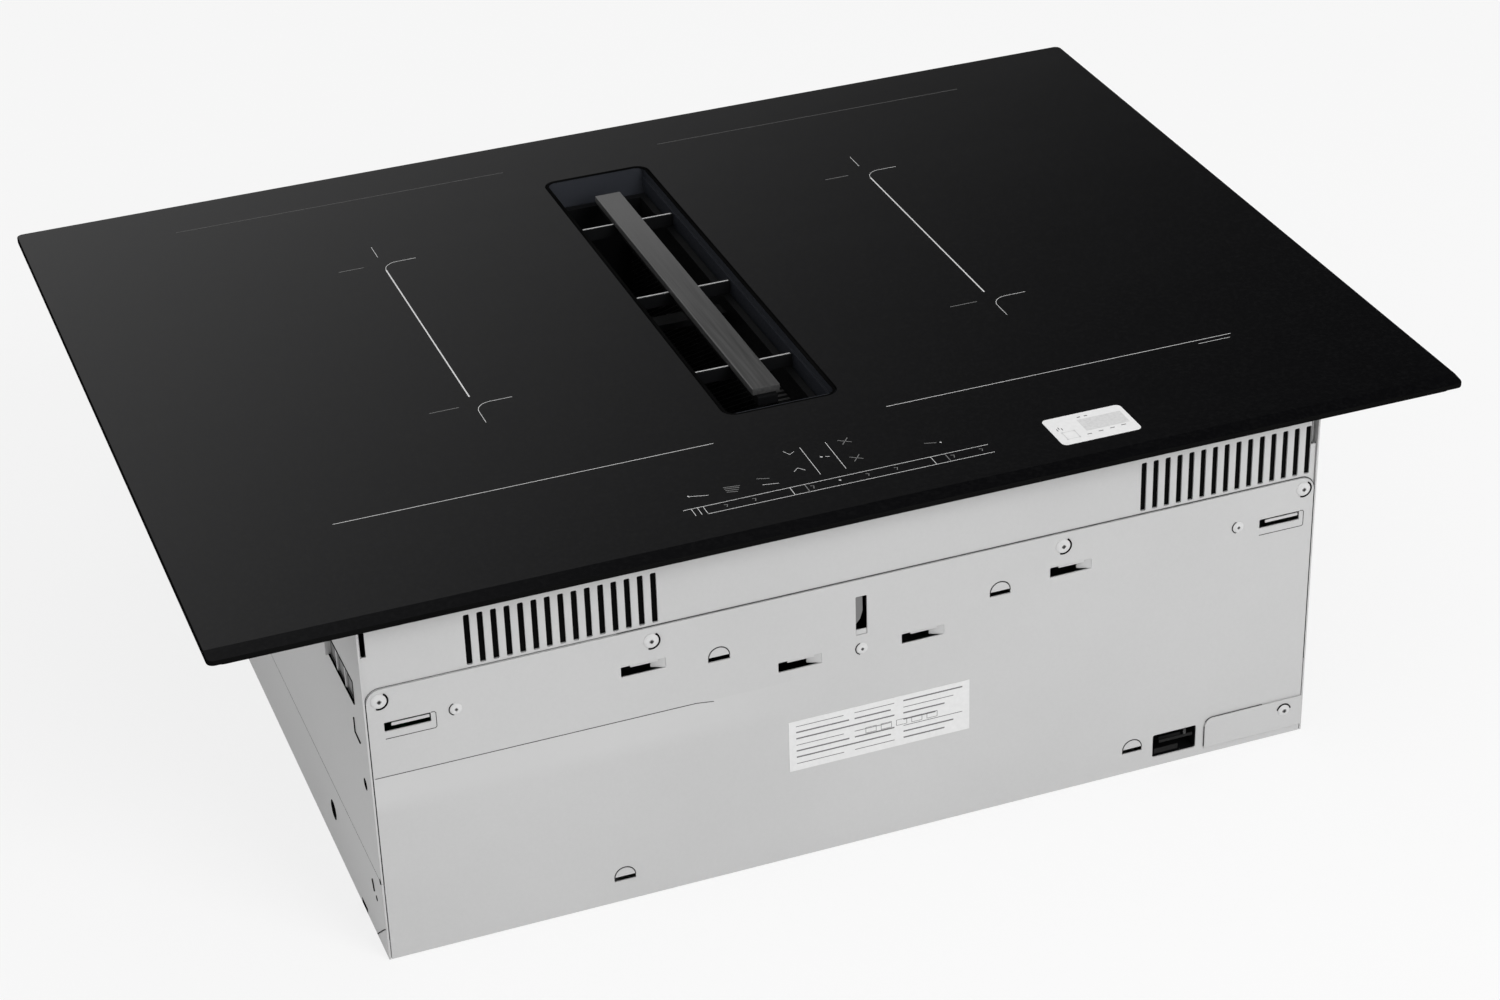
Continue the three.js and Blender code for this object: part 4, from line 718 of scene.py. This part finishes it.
# ---------- prints on the glass ----------
def glass_prints():
    """Plain zone marks and control marks, in millimetres."""
    z = TOP + 0.00003
    bold, lines, thin, dim, far = [], [], [], [], []

    def line(into, *points):
        into.append([(x * MM, y * MM, z) for x, y in points])

    for side in (-1, 1):
        cx = side * ZONE_X
        line(bold, (cx, -53.5), (cx, 119.2))
        line(thin, (cx, 119.2), *arc(cx + 9, 119.2, 9, 165, 90, 5), (cx + 21, 128.2))
        line(dim, (cx - 27, 128.2), (cx - 11.5, 128.2))
        line(thin, (cx, 138.3), (cx, 153.2))
        line(dim, (cx - 26, -63.0), (cx - 9, -63.0))
        line(thin, (cx + 22, -63.0), *arc(cx + 9, -72, 9, 90, 180), (cx, -85.4))
        line(lines, (side * 51, -158.3), (side * 264, -158.3))
        line(far, (side * 52, 223.0), (side * 263, 223.0))
    line(thin, (241.6, -162.2), (261.7, -162.2))
    # Slider strip: two long rails, four rungs and a mark for each power step.
    line(thin, (-79.6, -219.3), (84.7, -219.4))
    line(thin, (-79.3, -227.4), (84.8, -228.2))
    for x in (-30.4, 50.9):
        line(thin, (x, -219.6), (x, -227.8))
    for x in (-22.0, 59.2):
        line(dim, (x, -219.6), (x, -227.8))
    for i, x in enumerate((-67.7, -51.8, -18.8, 12.9, 29.3, 62.4, 79.1)):
        line(dim, (x - 0.9, -222.0), (x + 0.9, -222.6), (x, -224.6 - 0.3 * (i % 3)))
    line(bold, (-3.4, -222.4), (-2.4, -223.2))
    # End block of the strip and the keys behind it.
    for x in (-86.0, -82.6, -79.4):
        line(thin, (x, -219.4), (x, -226.8))
    line(thin, (-90.5, -219.2), (-79.6, -219.2))
    line(thin, (-83.0, -206.6), (-72.6, -209.4))
    line(bold, (-83.2, -205.9), (-82.2, -207.2))
    for y in (-205.2, -206.8, -208.6, -210.4):
        line(dim, (-62.8, y), (-55.4 + 0.6 * (y + 208), y - 1.4))
    line(dim, (-43.2, -203.6), (-36.6, -205.8))
    line(thin, (-42.6, -210.8), (-33.8, -212.6))
    line(thin, (-9.7, -181.6), (-10.1, -212.9))
    line(thin, (5.1, -181.7), (4.7, -212.6))
    line(thin, (-19.6, -182.0), (-17.4, -186.4), (-14.2, -184.4))
    line(thin, (-22.0, -204.6), (-18.8, -201.6), (-15.8, -205.4))
    line(bold, (-3.4, -195.4), (-2.2, -196.0))
    line(thin, (-0.6, -196.2), (1.6, -197.0))
    for x, y in ((12.0, -182.6), (11.0, -202.0)):
        line(dim, (x, y), (x + 6.4, y - 4.4))
        line(dim, (x + 6.0, y + 0.8), (x + 0.8, y - 5.4))
    line(dim, (53.6, -204.6), (60.0, -206.4))
    line(bold, (61.8, -206.8), (62.8, -207.2))
    thick = 0.00004
    for name, group, width, material in (("zone_prints", bold, 0.0008, PRINT),
                                         ("area_prints", lines, 0.00036, PRINT),
                                         ("strip_prints", thin, 0.0003, PRINT),
                                         ("key_prints", dim, 0.0005, PRINT_DIM),
                                         ("far_prints", far, 0.0008, PRINT_FAR)):
        mesh = PRINTS.grow(lines_mesh(group), Width=width, Height=thick, Material=material)
        finished(name, mesh, material, "housing")


glass_prints()


def info_label():
    lo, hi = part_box("info_label")
    w, d = hi.x - lo.x, hi.y - lo.y
    cx, cy = (lo.x + hi.x) / 2, (lo.y + hi.y) / 2
    mesh = plate_mesh(rounded(cx, cy, w, d, 0.003), [], lo.z, hi.z, "xy", 0.00004)
    piece = finished("label_film", mesh, MATS["label_paper"], "housing")
    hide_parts("info_label")
    # Plain ruled fields, without any lettering.
    x0, x1, y0, y1 = lo.x / MM, hi.x / MM, lo.y / MM, hi.y / MM
    z = hi.z / MM
    fields = [(0.39, 0.94, 0.33, 0.77), (0.10, 0.27, 0.43, 0.45), (0.10, 0.27, 0.17, 0.19),
              (0.10, 0.115, 0.17, 0.45), (0.255, 0.27, 0.17, 0.45)]
    ticks = [(0.08 + 0.03 * i, 0.092 + 0.03 * i, 0.52 + 0.05 * (i % 2), 0.60 + 0.05 * (i % 2))
             for i in range(3)]
    ticks += [(0.42 + 0.09 * i, 0.46 + 0.09 * i, 0.84, 0.87) for i in range(2)]
    ticks += [(0.36 + 0.15 * i, 0.42 + 0.15 * i, 0.20 + 0.02 * i, 0.225 + 0.02 * i) for i in range(4)]
    for name, marks, material in (("label_ticks", ticks, INK), ("label_rules", fields, FAINT)):
        mesh = bars_mesh([(x0 + a * (x1 - x0), x0 + b * (x1 - x0), y0 + c * (y1 - y0),
                           y0 + d * (y1 - y0), z - 0.005, z + 0.001) for a, b, c, d in marks])
        finished(name, mesh, material, "housing")


info_label()


def rating_rules():
    """Plain rules and boxes in place of the plate's text."""
    lo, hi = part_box("rating_plate")
    w, h = (hi.x - lo.x) / MM, (hi.z - lo.z) / MM
    x0, z0, y = lo.x / MM, lo.z / MM, lo.y / MM
    bars = []
    for i in range(7):
        z = z0 + h * (0.88 - 0.125 * i)
        ends = ((0.04, 0.30 + 0.03 * (i % 3)), (0.36, 0.58 - 0.02 * (i % 2)), (0.63, 0.96 - 0.05 * (i % 4)))
        for a, b in ends:
            bars.append((x0 + a * w, x0 + b * w, z, z + (0.9 if (i + int(9 * a)) % 3 else 0.45)))
    for i in range(5):
        a = 0.42 + 0.085 * i
        x, z, k = x0 + a * w, z0 + 0.415 * h, 0.06 * w
        bars += [(x, x + k, z, z + 0.3), (x, x + k, z + 3.6, z + 3.9), (x, x + 0.3, z, z + 3.9),
                 (x + k - 0.3, x + k, z, z + 3.9)]
    mesh = bars_mesh([(a, b, y - 0.02, y + 0.01, c, d) for a, b, c, d in bars])
    finished("rating_rules", mesh, INK, "housing")


rating_rules()


# ---------- front panel ----------
# Places, across and up, and the points of lances are in millimetres. Sizes are in metres.
OUTER = [(s * 253.5, 147.6) for s in (-1, 1)]
INNER = [(s * 124.5, 147.8) for s in (-1, 1)] + [(s * 36, 127.5) for s in (-1, 1)]
LUGS = [(-82, 141), (82, 141), (-141.3, 13.5), (166, 13.5)]
SCREWS_BIG = [(-267.7, 164.6), (267.7, 164.6), (-119.5, 163.4), (119.5, 163.4)]
SCREWS_SMALL = [(-227.5, 149.4), (227.5, 149.4), (0, 127.8)]
COVER_SCREW = (263, 17.6)
LANCE_WIDTH = 0.025
INNER_HEIGHT = 0.0062
OUTER_HEIGHT = 0.0056
LANCE_CORNER = 0.0005
CENTRE_SLOT = (0, 0.14875, 0.0065, 0.0245)  # middle, width and height
WINDOW = (0.193, 0.0138, 0.0276, 0.0152)
WINDOW_CORNER = 0.0012
LUG_RADIUS = 0.0062
LUG_FOOT = 0.003  # a lug's flat lower edge, above its place
PANEL_CORNER = 0.008
THIN_SHADOW_X = -0.138  # left of here the painted shadow along the joint over the panel is drawn thinner
RAMP = ((12.4, 243.0), (12.4, 242.0), (5.0, 238.6), (5.0, 239.7))
TONGUE = ((-3.1, 160.2), (1.3, 160.8), (1.4, 151.0), (-0.1, 146.0), (-3.1, 142.4))
OUTER_FRAME = ((-12.4, -6.9), (14.4, -6.9), (15.2, -6.1), (15.2, 2.4), (14.4, 3.2), (12.6, 3.2))


def half_disc(cx, z, r, rise=0.45, n=12):
    """Outline with a flat foot and a round top."""
    return [(cx - r, z), (cx + r, z)] + arc(cx, z + r * rise, r, 0, 180, n)


def panel_outline(grow):
    x0, x1, top, r = front_lo.x - grow, front_hi.x + grow, SEAM + grow, PANEL_CORNER
    return [(x0, 0.0), (x1, 0.0)] + arc(x1 - r, top - r, r, 0, 90) + arc(x0 + r, top - r, r, 90, 180)


def front_panel():
    """Sheet with its openings, and the lugs, ramps and bars that are pressed out of it."""
    holes = [rounded(x * MM, z * MM, LANCE_WIDTH, INNER_HEIGHT, LANCE_CORNER, 2) for x, z in INNER]
    holes += [rounded(x * MM, (z + 0.3) * MM, LANCE_WIDTH, OUTER_HEIGHT, LANCE_CORNER, 2)
              for x, z in OUTER]
    holes.append(rounded(*CENTRE_SLOT, LANCE_CORNER, 2))
    holes.append(rounded(*WINDOW, WINDOW_CORNER, 3))
    holes += [half_disc(x * MM, z * MM, LUG_RADIUS) for x, z in LUGS]
    parts = [plate_mesh(panel_outline(-0.0002), holes, FRONT, FRONT + 0.001, "xz", 0.0002)]
    for x, z in LUGS:
        disc = half_disc(x * MM, z * MM, LUG_RADIUS - 0.00045)[2:]
        low = z * MM + LUG_FOOT
        disc = [(x * MM - 0.0057, low), (x * MM + 0.0057, low)] + [(px, max(pz, low)) for px, pz in disc]
        parts.append(plate_mesh(disc, [], FRONT - 0.0001, FRONT + 0.0009, "xz", 0.0002))
    for x, z in INNER:
        # The tongue is flush at its right end and slopes steeply inwards, with a lip along the top.
        ramp = [((x + px) * MM, -py * MM) for px, py in RAMP]
        parts.append(plate_mesh(ramp, [], (z - 2.9) * MM, (z + 2.9) * MM, "xy", 0.0001))
        parts.append(block_mesh((x - 7.0) * MM, (x + 8.5) * MM, FRONT + 0.0009, FRONT + 0.0017,
                                (z + 1.4) * MM, (z + 3.0) * MM, 0.0002))
    for x, z in OUTER:
        # The bar hangs in the middle of its slot, behind the sheet.
        parts.append(block_mesh((x - 8.5) * MM, (x + 12.0) * MM, FRONT + 0.0008, FRONT + 0.0015,
                                (z - 0.1) * MM, (z + 1.7) * MM, 0.0002))
    # The centre tongue takes the darker copy of the sheet: painted shade deep in its slot.
    tongue = plate_mesh([(x * MM, z * MM) for x, z in TONGUE], [], FRONT + 0.0016, FRONT + 0.0024,
                        "xz", 0.0001)
    finished("centre_tongue", tongue, SHADED_SHEET, "housing")
    parts.append(block_mesh(-0.0031, 0.0031, FRONT + 0.0004, FRONT + 0.0012, 0.1367, 0.1398, 0.0002))
    piece = finished("front_sheet", merged(*parts), SHEENED_SHEET, "housing")
    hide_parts("front_panel")


front_panel()


def front_lines():
    """Painted shade along the pressed creases, slot frames and lug outlines, painted shadow under the
    panel's top edge along its joint with the tray, and dark corner joints, as thin square cords let into
    the sheet.
    """
    y = FRONT + 0.0001
    seam = [(x, tray_lo.y - 0.00005, z) for x, z in panel_outline(0.0001)[2:]]
    crease = [(x * MM, y, z * MM) for x, z in ((-273.6, CREASE_Z), (-96, CREASE_Z), (-86, CREASE_Z - 1.3))]
    lines = [crease]
    for x, z in OUTER:
        lines.append([((x + a) * MM, y, (z + b) * MM) for a, b in OUTER_FRAME])
    for x, z in LUGS:
        lines.append([(px, FRONT + 0.00005, pz) for px, pz in half_disc(x * MM, z * MM, 0.0060)[2:]])
    # Painted shade: dark cords along the crease, the outer slots' frames and the lugs' outlines.
    finished("front_crease_shade", cord(lines, 0.0004, SHADE), SHADE, "housing")
    # Painted shadow of the panel's top edge on the tray's wall, along their joint; drawn thinner on the
    # left.
    meet = (THIN_SHADOW_X, seam[0][1], max(point[2] for point in seam))
    wide_part = [point for point in seam if point[0] > 0] + [meet]
    thin_part = [meet] + [point for point in seam if point[0] < 0]
    joint = merged(cord([wide_part], 0.00045, SHADE), cord([thin_part], 0.00022, SHADE))
    finished("front_joint_shadow", joint, SHADE, "housing")
    bars = []
    for side in (-1, 1):
        across = span(side * (front_hi.x / MM - 0.2), side * (front_hi.x / MM + 0.3))
        bars.append((*across, FRONT / MM - 0.02, FRONT / MM + 0.8,
                     PAN_SEAM, (SEAM - PANEL_CORNER) / MM))
    finished("corner_joints", bars_mesh(bars), JOINT_AND_SHADE_BLACK, "housing")


front_lines()


def front_screws():
    """Pan heads, their cross marks in a darker sheet for painted shade in the recesses, and painted shadow
    crescents at the open side of their seats.
    """
    def at(points, out):
        return points_mesh([(x * MM, FRONT - out, z * MM) for x, z in points])

    heads, marks = [], []
    for points, out, radius, height, mark_out, reach in (
            (SCREWS_BIG, 0.0, 0.0044, 0.0012, 0.0010, 0.0024),
            (SCREWS_SMALL, 0.0, 0.0034, 0.0010, 0.0008, 0.0018),
            ([COVER_SCREW], 0.0013, 0.0038, 0.0012, 0.0024, 0.0024)):
        heads.append(SCREWS.grow(at(points, out), Radius=radius, Height=height, Material=SCREW))
        marks.append(CROSSES.grow(at(points, mark_out), Radius=reach, Depth=MARK_DEPTH, Material=SHADED_SHEET))
    finished("front_screw_heads", merged(*heads), SCREW, "housing")
    finished("front_screw_recesses", merged(*marks), SHADED_SHEET, "housing")
    # Painted shadow: dark crescents on the open side of each seat, where the sheet is dished under the
    # head.
    for name, points, r, a0, a1, out, width in (
            ("front_screw_seat_shadows", SCREWS_BIG, 4.7, -110, 55, 0.0001, 0.0009),
            ("front_small_seat_shadows", SCREWS_SMALL, 3.7, 110, 250, 0.0001, 0.0004),
            ("cover_screw_seat_shadow", [COVER_SCREW], 4.2, 10, 170, 0.0014, 0.0007)):
        shadow_arcs = [[(px * MM, FRONT - out, pz * MM) for px, pz in arc(x, z, r, a0, a1, 12)]
                for x, z in points]
        finished(name, cord(shadow_arcs, width, JOINT_AND_SHADE_BLACK), JOINT_AND_SHADE_BLACK, "housing")


front_screws()


def cover_plate():
    lo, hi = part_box("corner_cover")
    r = 0.005
    outline = [(lo.x, lo.z), (hi.x, lo.z), (hi.x, hi.z)] + arc(lo.x + r, hi.z - r, r, 90, 180)
    sheet = plate_mesh(outline, [], lo.y, hi.y, "xz", 0.0003)
    piece = finished("cover_plate", sheet, MATS["steel_sheet"], "housing")
    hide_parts("corner_cover")
    top = arc(lo.x + r, hi.z - r, r, 150, 90) + [(lo.x + 0.037, hi.z)]
    left = [(lo.x, hi.z - 0.0055), (lo.x, lo.z + 0.001)]
    edges = [[(x, hi.y - 0.0001, z) for x, z in edge] for edge in (top, left)]
    finished("cover_joint", cord(edges, 0.0005, SHADE), SHADE, "housing")


cover_plate()


REAR_SCREWS = ((-262, 160), (262, 160), (-120, 160), (120, 160), (0, 12), (-262, 12), (-120, 12), (40, 60))


def rear_screws():
    """Pan heads in the rear panel and in the cover of the mains terminals."""
    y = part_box("rear_panel")[1].y
    lo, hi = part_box("terminal_cover")
    inset, mark_out = 0.008, 0.0010
    places = [(x * MM, y, z * MM) for x, z in REAR_SCREWS]
    places += [(lo.x + inset, hi.y, hi.z - inset), (hi.x - inset, hi.y, hi.z - inset),
               (lo.x + inset, hi.y, lo.z + inset)]
    heads = SCREWS.grow(points_mesh(places), Radius=0.0040, Height=0.0012, Material=SCREW)
    finished("rear_screw_heads", heads, SCREW, "housing")
    # Cross marks in the darker copy of the sheet: painted shade in the recesses.
    marks = CROSSES.grow(points_mesh([(x, y + mark_out, z) for x, y, z in places]), Radius=0.0024,
                         Depth=MARK_DEPTH, Material=SHADED_SHEET)
    finished("rear_screw_recesses", marks, SHADED_SHEET, "housing")
    rim = [(lo.x, lo.z), (lo.x, hi.z), (hi.x, hi.z), (hi.x, lo.z), (lo.x, lo.z)]
    joint = cord([[(x, y + 0.0001, z) for x, z in rim]], 0.0005, SHADE)
    finished("terminal_cover_joint", joint, SHADE, "housing")


rear_screws()


# ---------- behind the front openings ----------
# All in millimetres: latch and hook by their left, right, lower and upper edges.
VENTS_X = (-167, 219)  # middle of each group of cooling slots
VENTS_HALF = 53
VENTS_Z = (173.4, 204.4)
LATCH = ((184.0, 205.2, 14.4, 16.2), (180.8, 196.0, 7.6, 10.8))
HOOK = ((199.4, 201.0, 16.3, 19.8),)


def front_backs():
    """Dark sheets behind the cooling slots, painted shade where the slots show the unlit inside, and the
    latch in the connection window.
    """
    wall, sheet = tray_lo.y / MM, FRONT / MM
    # Painted shade: flat black sheets just behind the cooling slots.
    screens = bars_mesh([(x - VENTS_HALF, x + VENTS_HALF, wall + 1.3, wall + 1.6, *VENTS_Z)
                         for x in VENTS_X])
    finished("vent_shade_screens", screens, JOINT_AND_SHADE_BLACK, "housing")
    for name, bars, material in (("window_latch", LATCH, MATS["rubber"]), ("window_hook", HOOK, SHADE)):
        mesh = bars_mesh([(x0, x1, sheet + 1.4, sheet + 2.0, z0, z1) for x0, x1, z0, z1 in bars])
        finished(name, mesh, material, "housing")


front_backs()


# ---------- sides ----------
# Holes and dots by y, z and radius in metres, strokes by y and z in millimetres.
SIDE_HOLES = ((-0.229, 0.106, 0.0036), (-0.136, 0.028, 0.00615))
SIDE_DOTS = ((-0.2270, 0.0300), (-0.2402, 0.0500))
DOT_RADIUS = 0.0017
SIDE_BOLD = (((-218, 141.5), (-218, 132.5), (-228, 131.5)), ((-221, 39), (-222.5, 36), (-223.5, 32.5)),
             ((-223.4, 153.2), (-171.6, 153.2), (-171.6, 171)))
SIDE_FINE = (((-220, 1.2), (-236, 15), (-241, 19)), ((-223.4, 153.2), (-223.4, 167), (-171.6, 167)))


def sides():
    """Painted shade in the openings, along the pressed marks and in the window's cells, the dark joint over
    the pan, and the flaps, on both sides.
    """
    dark, bold, fine, steel, shaded = [], [], [], [], []
    for side in (-1, 1):
        x = side * SIDE

        def shade_disc(outline, depth, thick=0.0004):
            across = span(x - side * depth, x - side * (depth + thick))
            return plate_mesh(outline, [], *across, "yz", 0.00005)

        # Painted shade: black discs just inside the holes and dots.
        dark += [shade_disc(arc(y, z, r, 0, 345, 23), 0.00002) for y, z, r in SIDE_HOLES]
        dark += [shade_disc(arc(y, z, DOT_RADIUS, 0, 330, 11), -0.00012, 0.0002) for y, z in SIDE_DOTS]
        # The black strip over the pan seam is the dark joint; the small block at the foot is painted shade
        # in a notch.
        near, far = span(x, x - side * 0.0008)
        dark.append(bars_mesh([(near / MM - 0.02, far / MM + 0.02, -242.5, 242.5,
                                PAN_SEAM - 0.05, PAN_SEAM + 0.35),
                               (near / MM - 0.01, far / MM, -199.9, -188.1, 0.1, 3.9)]))
        at = x + side * 0.0001
        bold += [[(at, y * MM, z * MM) for y, z in line] for line in SIDE_BOLD]
        fine += [[(at, y * MM, z * MM) for y, z in line] for line in SIDE_FINE]
        # Flap at the rear end of the air opening, and the sheet seen through its cells, in the darker copy
        # of the sheet as painted shade.
        wing, back = span(x, x + side * 0.0022), span(x - side * 0.0011, x - side * 0.0016)
        steel.append(block_mesh(*wing, -0.1722, -0.1712, 0.1530, 0.1710, 0.0002))
        shaded.append(block_mesh(*back, -0.2255, -0.1690, 0.1510, 0.1680, 0.0002))
    finished("side_shades", merged(*dark), JOINT_AND_SHADE_BLACK, "housing")
    # Painted shade: black cords along the pressed lances.
    lances = merged(cord(bold, 0.0009, JOINT_AND_SHADE_BLACK), cord(fine, 0.0005, JOINT_AND_SHADE_BLACK))
    finished("side_lance_shade", lances, JOINT_AND_SHADE_BLACK, "housing")
    finished("side_window_shade", merged(*shaded), SHADED_SHEET, "housing")
    finished("side_flaps", merged(*steel), MATS["steel_sheet"], "housing")


sides()


# ---------- grille ----------
def grille():
    """Flat bar over a keel with three cross ribs; light strips on the ribs' upper edges are a painted
    highlight where light falls on the rib tops.
    """
    z1 = bar_hi.z
    half_length, half_width, thick = 0.138, 0.0083, 0.0045
    rib_step, rib_half, rib_top = 0.101, 0.0008, TOP - 0.0055
    y0, y1 = SLOT_Y - half_length, SLOT_Y + half_length
    bar = block_mesh(-half_width, half_width, y0, y1, z1 - thick, z1, 0.0006, 3)
    piece = finished("grille_bar", bar, MATS["bar_metal"], "grille")
    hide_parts("inlet_grille")
    keel = [block_mesh(-0.006, 0.006, y0 - 0.003, y1 + 0.003, z1 - 0.010, z1 - 0.0046, 0.0004)]
    edges = []
    for i in (-1, 0, 1):
        y = SLOT_Y + i * rib_step
        keel.append(block_mesh(bar_lo.x, bar_hi.x, y - rib_half, y + rib_half, bar_lo.z, rib_top,
                               0.0002, 1))
        # Painted highlight: a light strip along each rib's upper edge.
        for side in (-1, 1):
            across = span(side * 0.0088, side * (bar_hi.x - 0.001))
            edges.append(block_mesh(*across, y - rib_half / 2, y + rib_half / 2, rib_top + 0.0002,
                                    rib_top + 0.0006, 0.0001, 1))
    finished("grille_ribs", merged(*keel), MATS["black_plastic"], "grille")
    finished("grille_rib_highlights", merged(*edges), RIB_HIGHLIGHT, "grille")


grille()


# ---------- floor and light ----------
PALE = 0.95  # backdrop, where 1 is white
AMBIENT = 0.5  # even light on the object
SKY_GAIN = 0.12  # more of it from above
FADE_HEIGHT, FADE_RATE, FADE_SIDE = 0.20, 2.1, 4.4  # how the mirrored backdrop falls off
FLOOR_HALF, FLOOR_Z, FLOOR_GLOW = 30, -0.0005, 0.8
AIM = (0, 0, 0.1)
LAMP_SIZE = (1.6, 1.6)


def floor():
    mesh = bpy.data.meshes.new("floor")
    corners = ((-1, -1), (1, -1), (1, 1), (-1, 1))
    mesh.from_pydata([(x * FLOOR_HALF, y * FLOOR_HALF, FLOOR_Z) for x, y in corners], [], [(0, 1, 2, 3)])
    piece = bpy.data.objects.new("floor", mesh)
    scene.collection.objects.link(piece)
    m = Mat("floor", (0.86, 0.86, 0.86), 0.9)
    glow = m.node("ShaderNodeEmission", {"Color": (1.0, 1.0, 1.0, 1), "Strength": 1.0})
    mixed = m.node("ShaderNodeMixShader", {0: m.seen() * FLOOR_GLOW})
    shader = mixed.out.node
    m.tree.links.new(m.bsdf.outputs[0], shader.inputs[1])
    m.tree.links.new(glow.out, shader.inputs[2])
    m.tree.links.new(mixed.out, m.tree.nodes["Material Output"].inputs[0])
    mesh.materials.append(m.m)


floor()


def surroundings():
    """A pale backdrop all round that falls off overhead, over an even soft light."""
    world = bpy.data.worlds.new("world")
    scene.world = world
    world.use_nodes = True
    world.node_tree.nodes.clear()
    w = Nodes(world.node_tree)
    spot = w.node("ShaderNodeTexCoord", out="Generated")
    x = w.node("ShaderNodeSeparateXYZ", {0: spot}, out="X")
    z = w.node("ShaderNodeSeparateXYZ", {0: spot}, out="Z")
    rise = (z - FADE_HEIGHT).op("MAXIMUM", 0.0)
    slope = (x * FADE_SIDE).op("EXPONENT") * FADE_RATE
    fall = (rise * slope * -1.0).op("EXPONENT")
    camera_ray = w.node("ShaderNodeLightPath", out="Is Camera Ray")
    shown = w.node("ShaderNodeBackground", {0: (PALE, PALE, PALE, 1), 1: fall.op("MAXIMUM", camera_ray)})
    strength = z.op("MAXIMUM", 0.0) * SKY_GAIN + AMBIENT
    lit = w.node("ShaderNodeBackground", {0: (1, 1, 1, 1), 1: strength})
    mixed = w.node("ShaderNodeMixShader", {0: w.seen(), 1: lit, 2: shown})
    end = w.tree.nodes.new("ShaderNodeOutputWorld")
    w.tree.links.new(mixed.out, end.inputs[0])


surroundings()


def area_light(name, place, power):
    data = bpy.data.lights.new(name, "AREA")
    data.shape = "RECTANGLE"
    data.size, data.size_y = LAMP_SIZE
    data.energy = power
    obj = bpy.data.objects.new(name, data)
    scene.collection.objects.link(obj)
    obj.location = place
    obj.visible_glossy = False
    obj.rotation_euler = (Vector(AIM) - Vector(place)).to_track_quat("-Z", "Y").to_euler()


area_light("key", (1.0, -2.6, 1.9), 55)
area_light("fill", (-2.6, -0.8, 1.4), 4)

scene.view_settings.view_transform = "Standard"
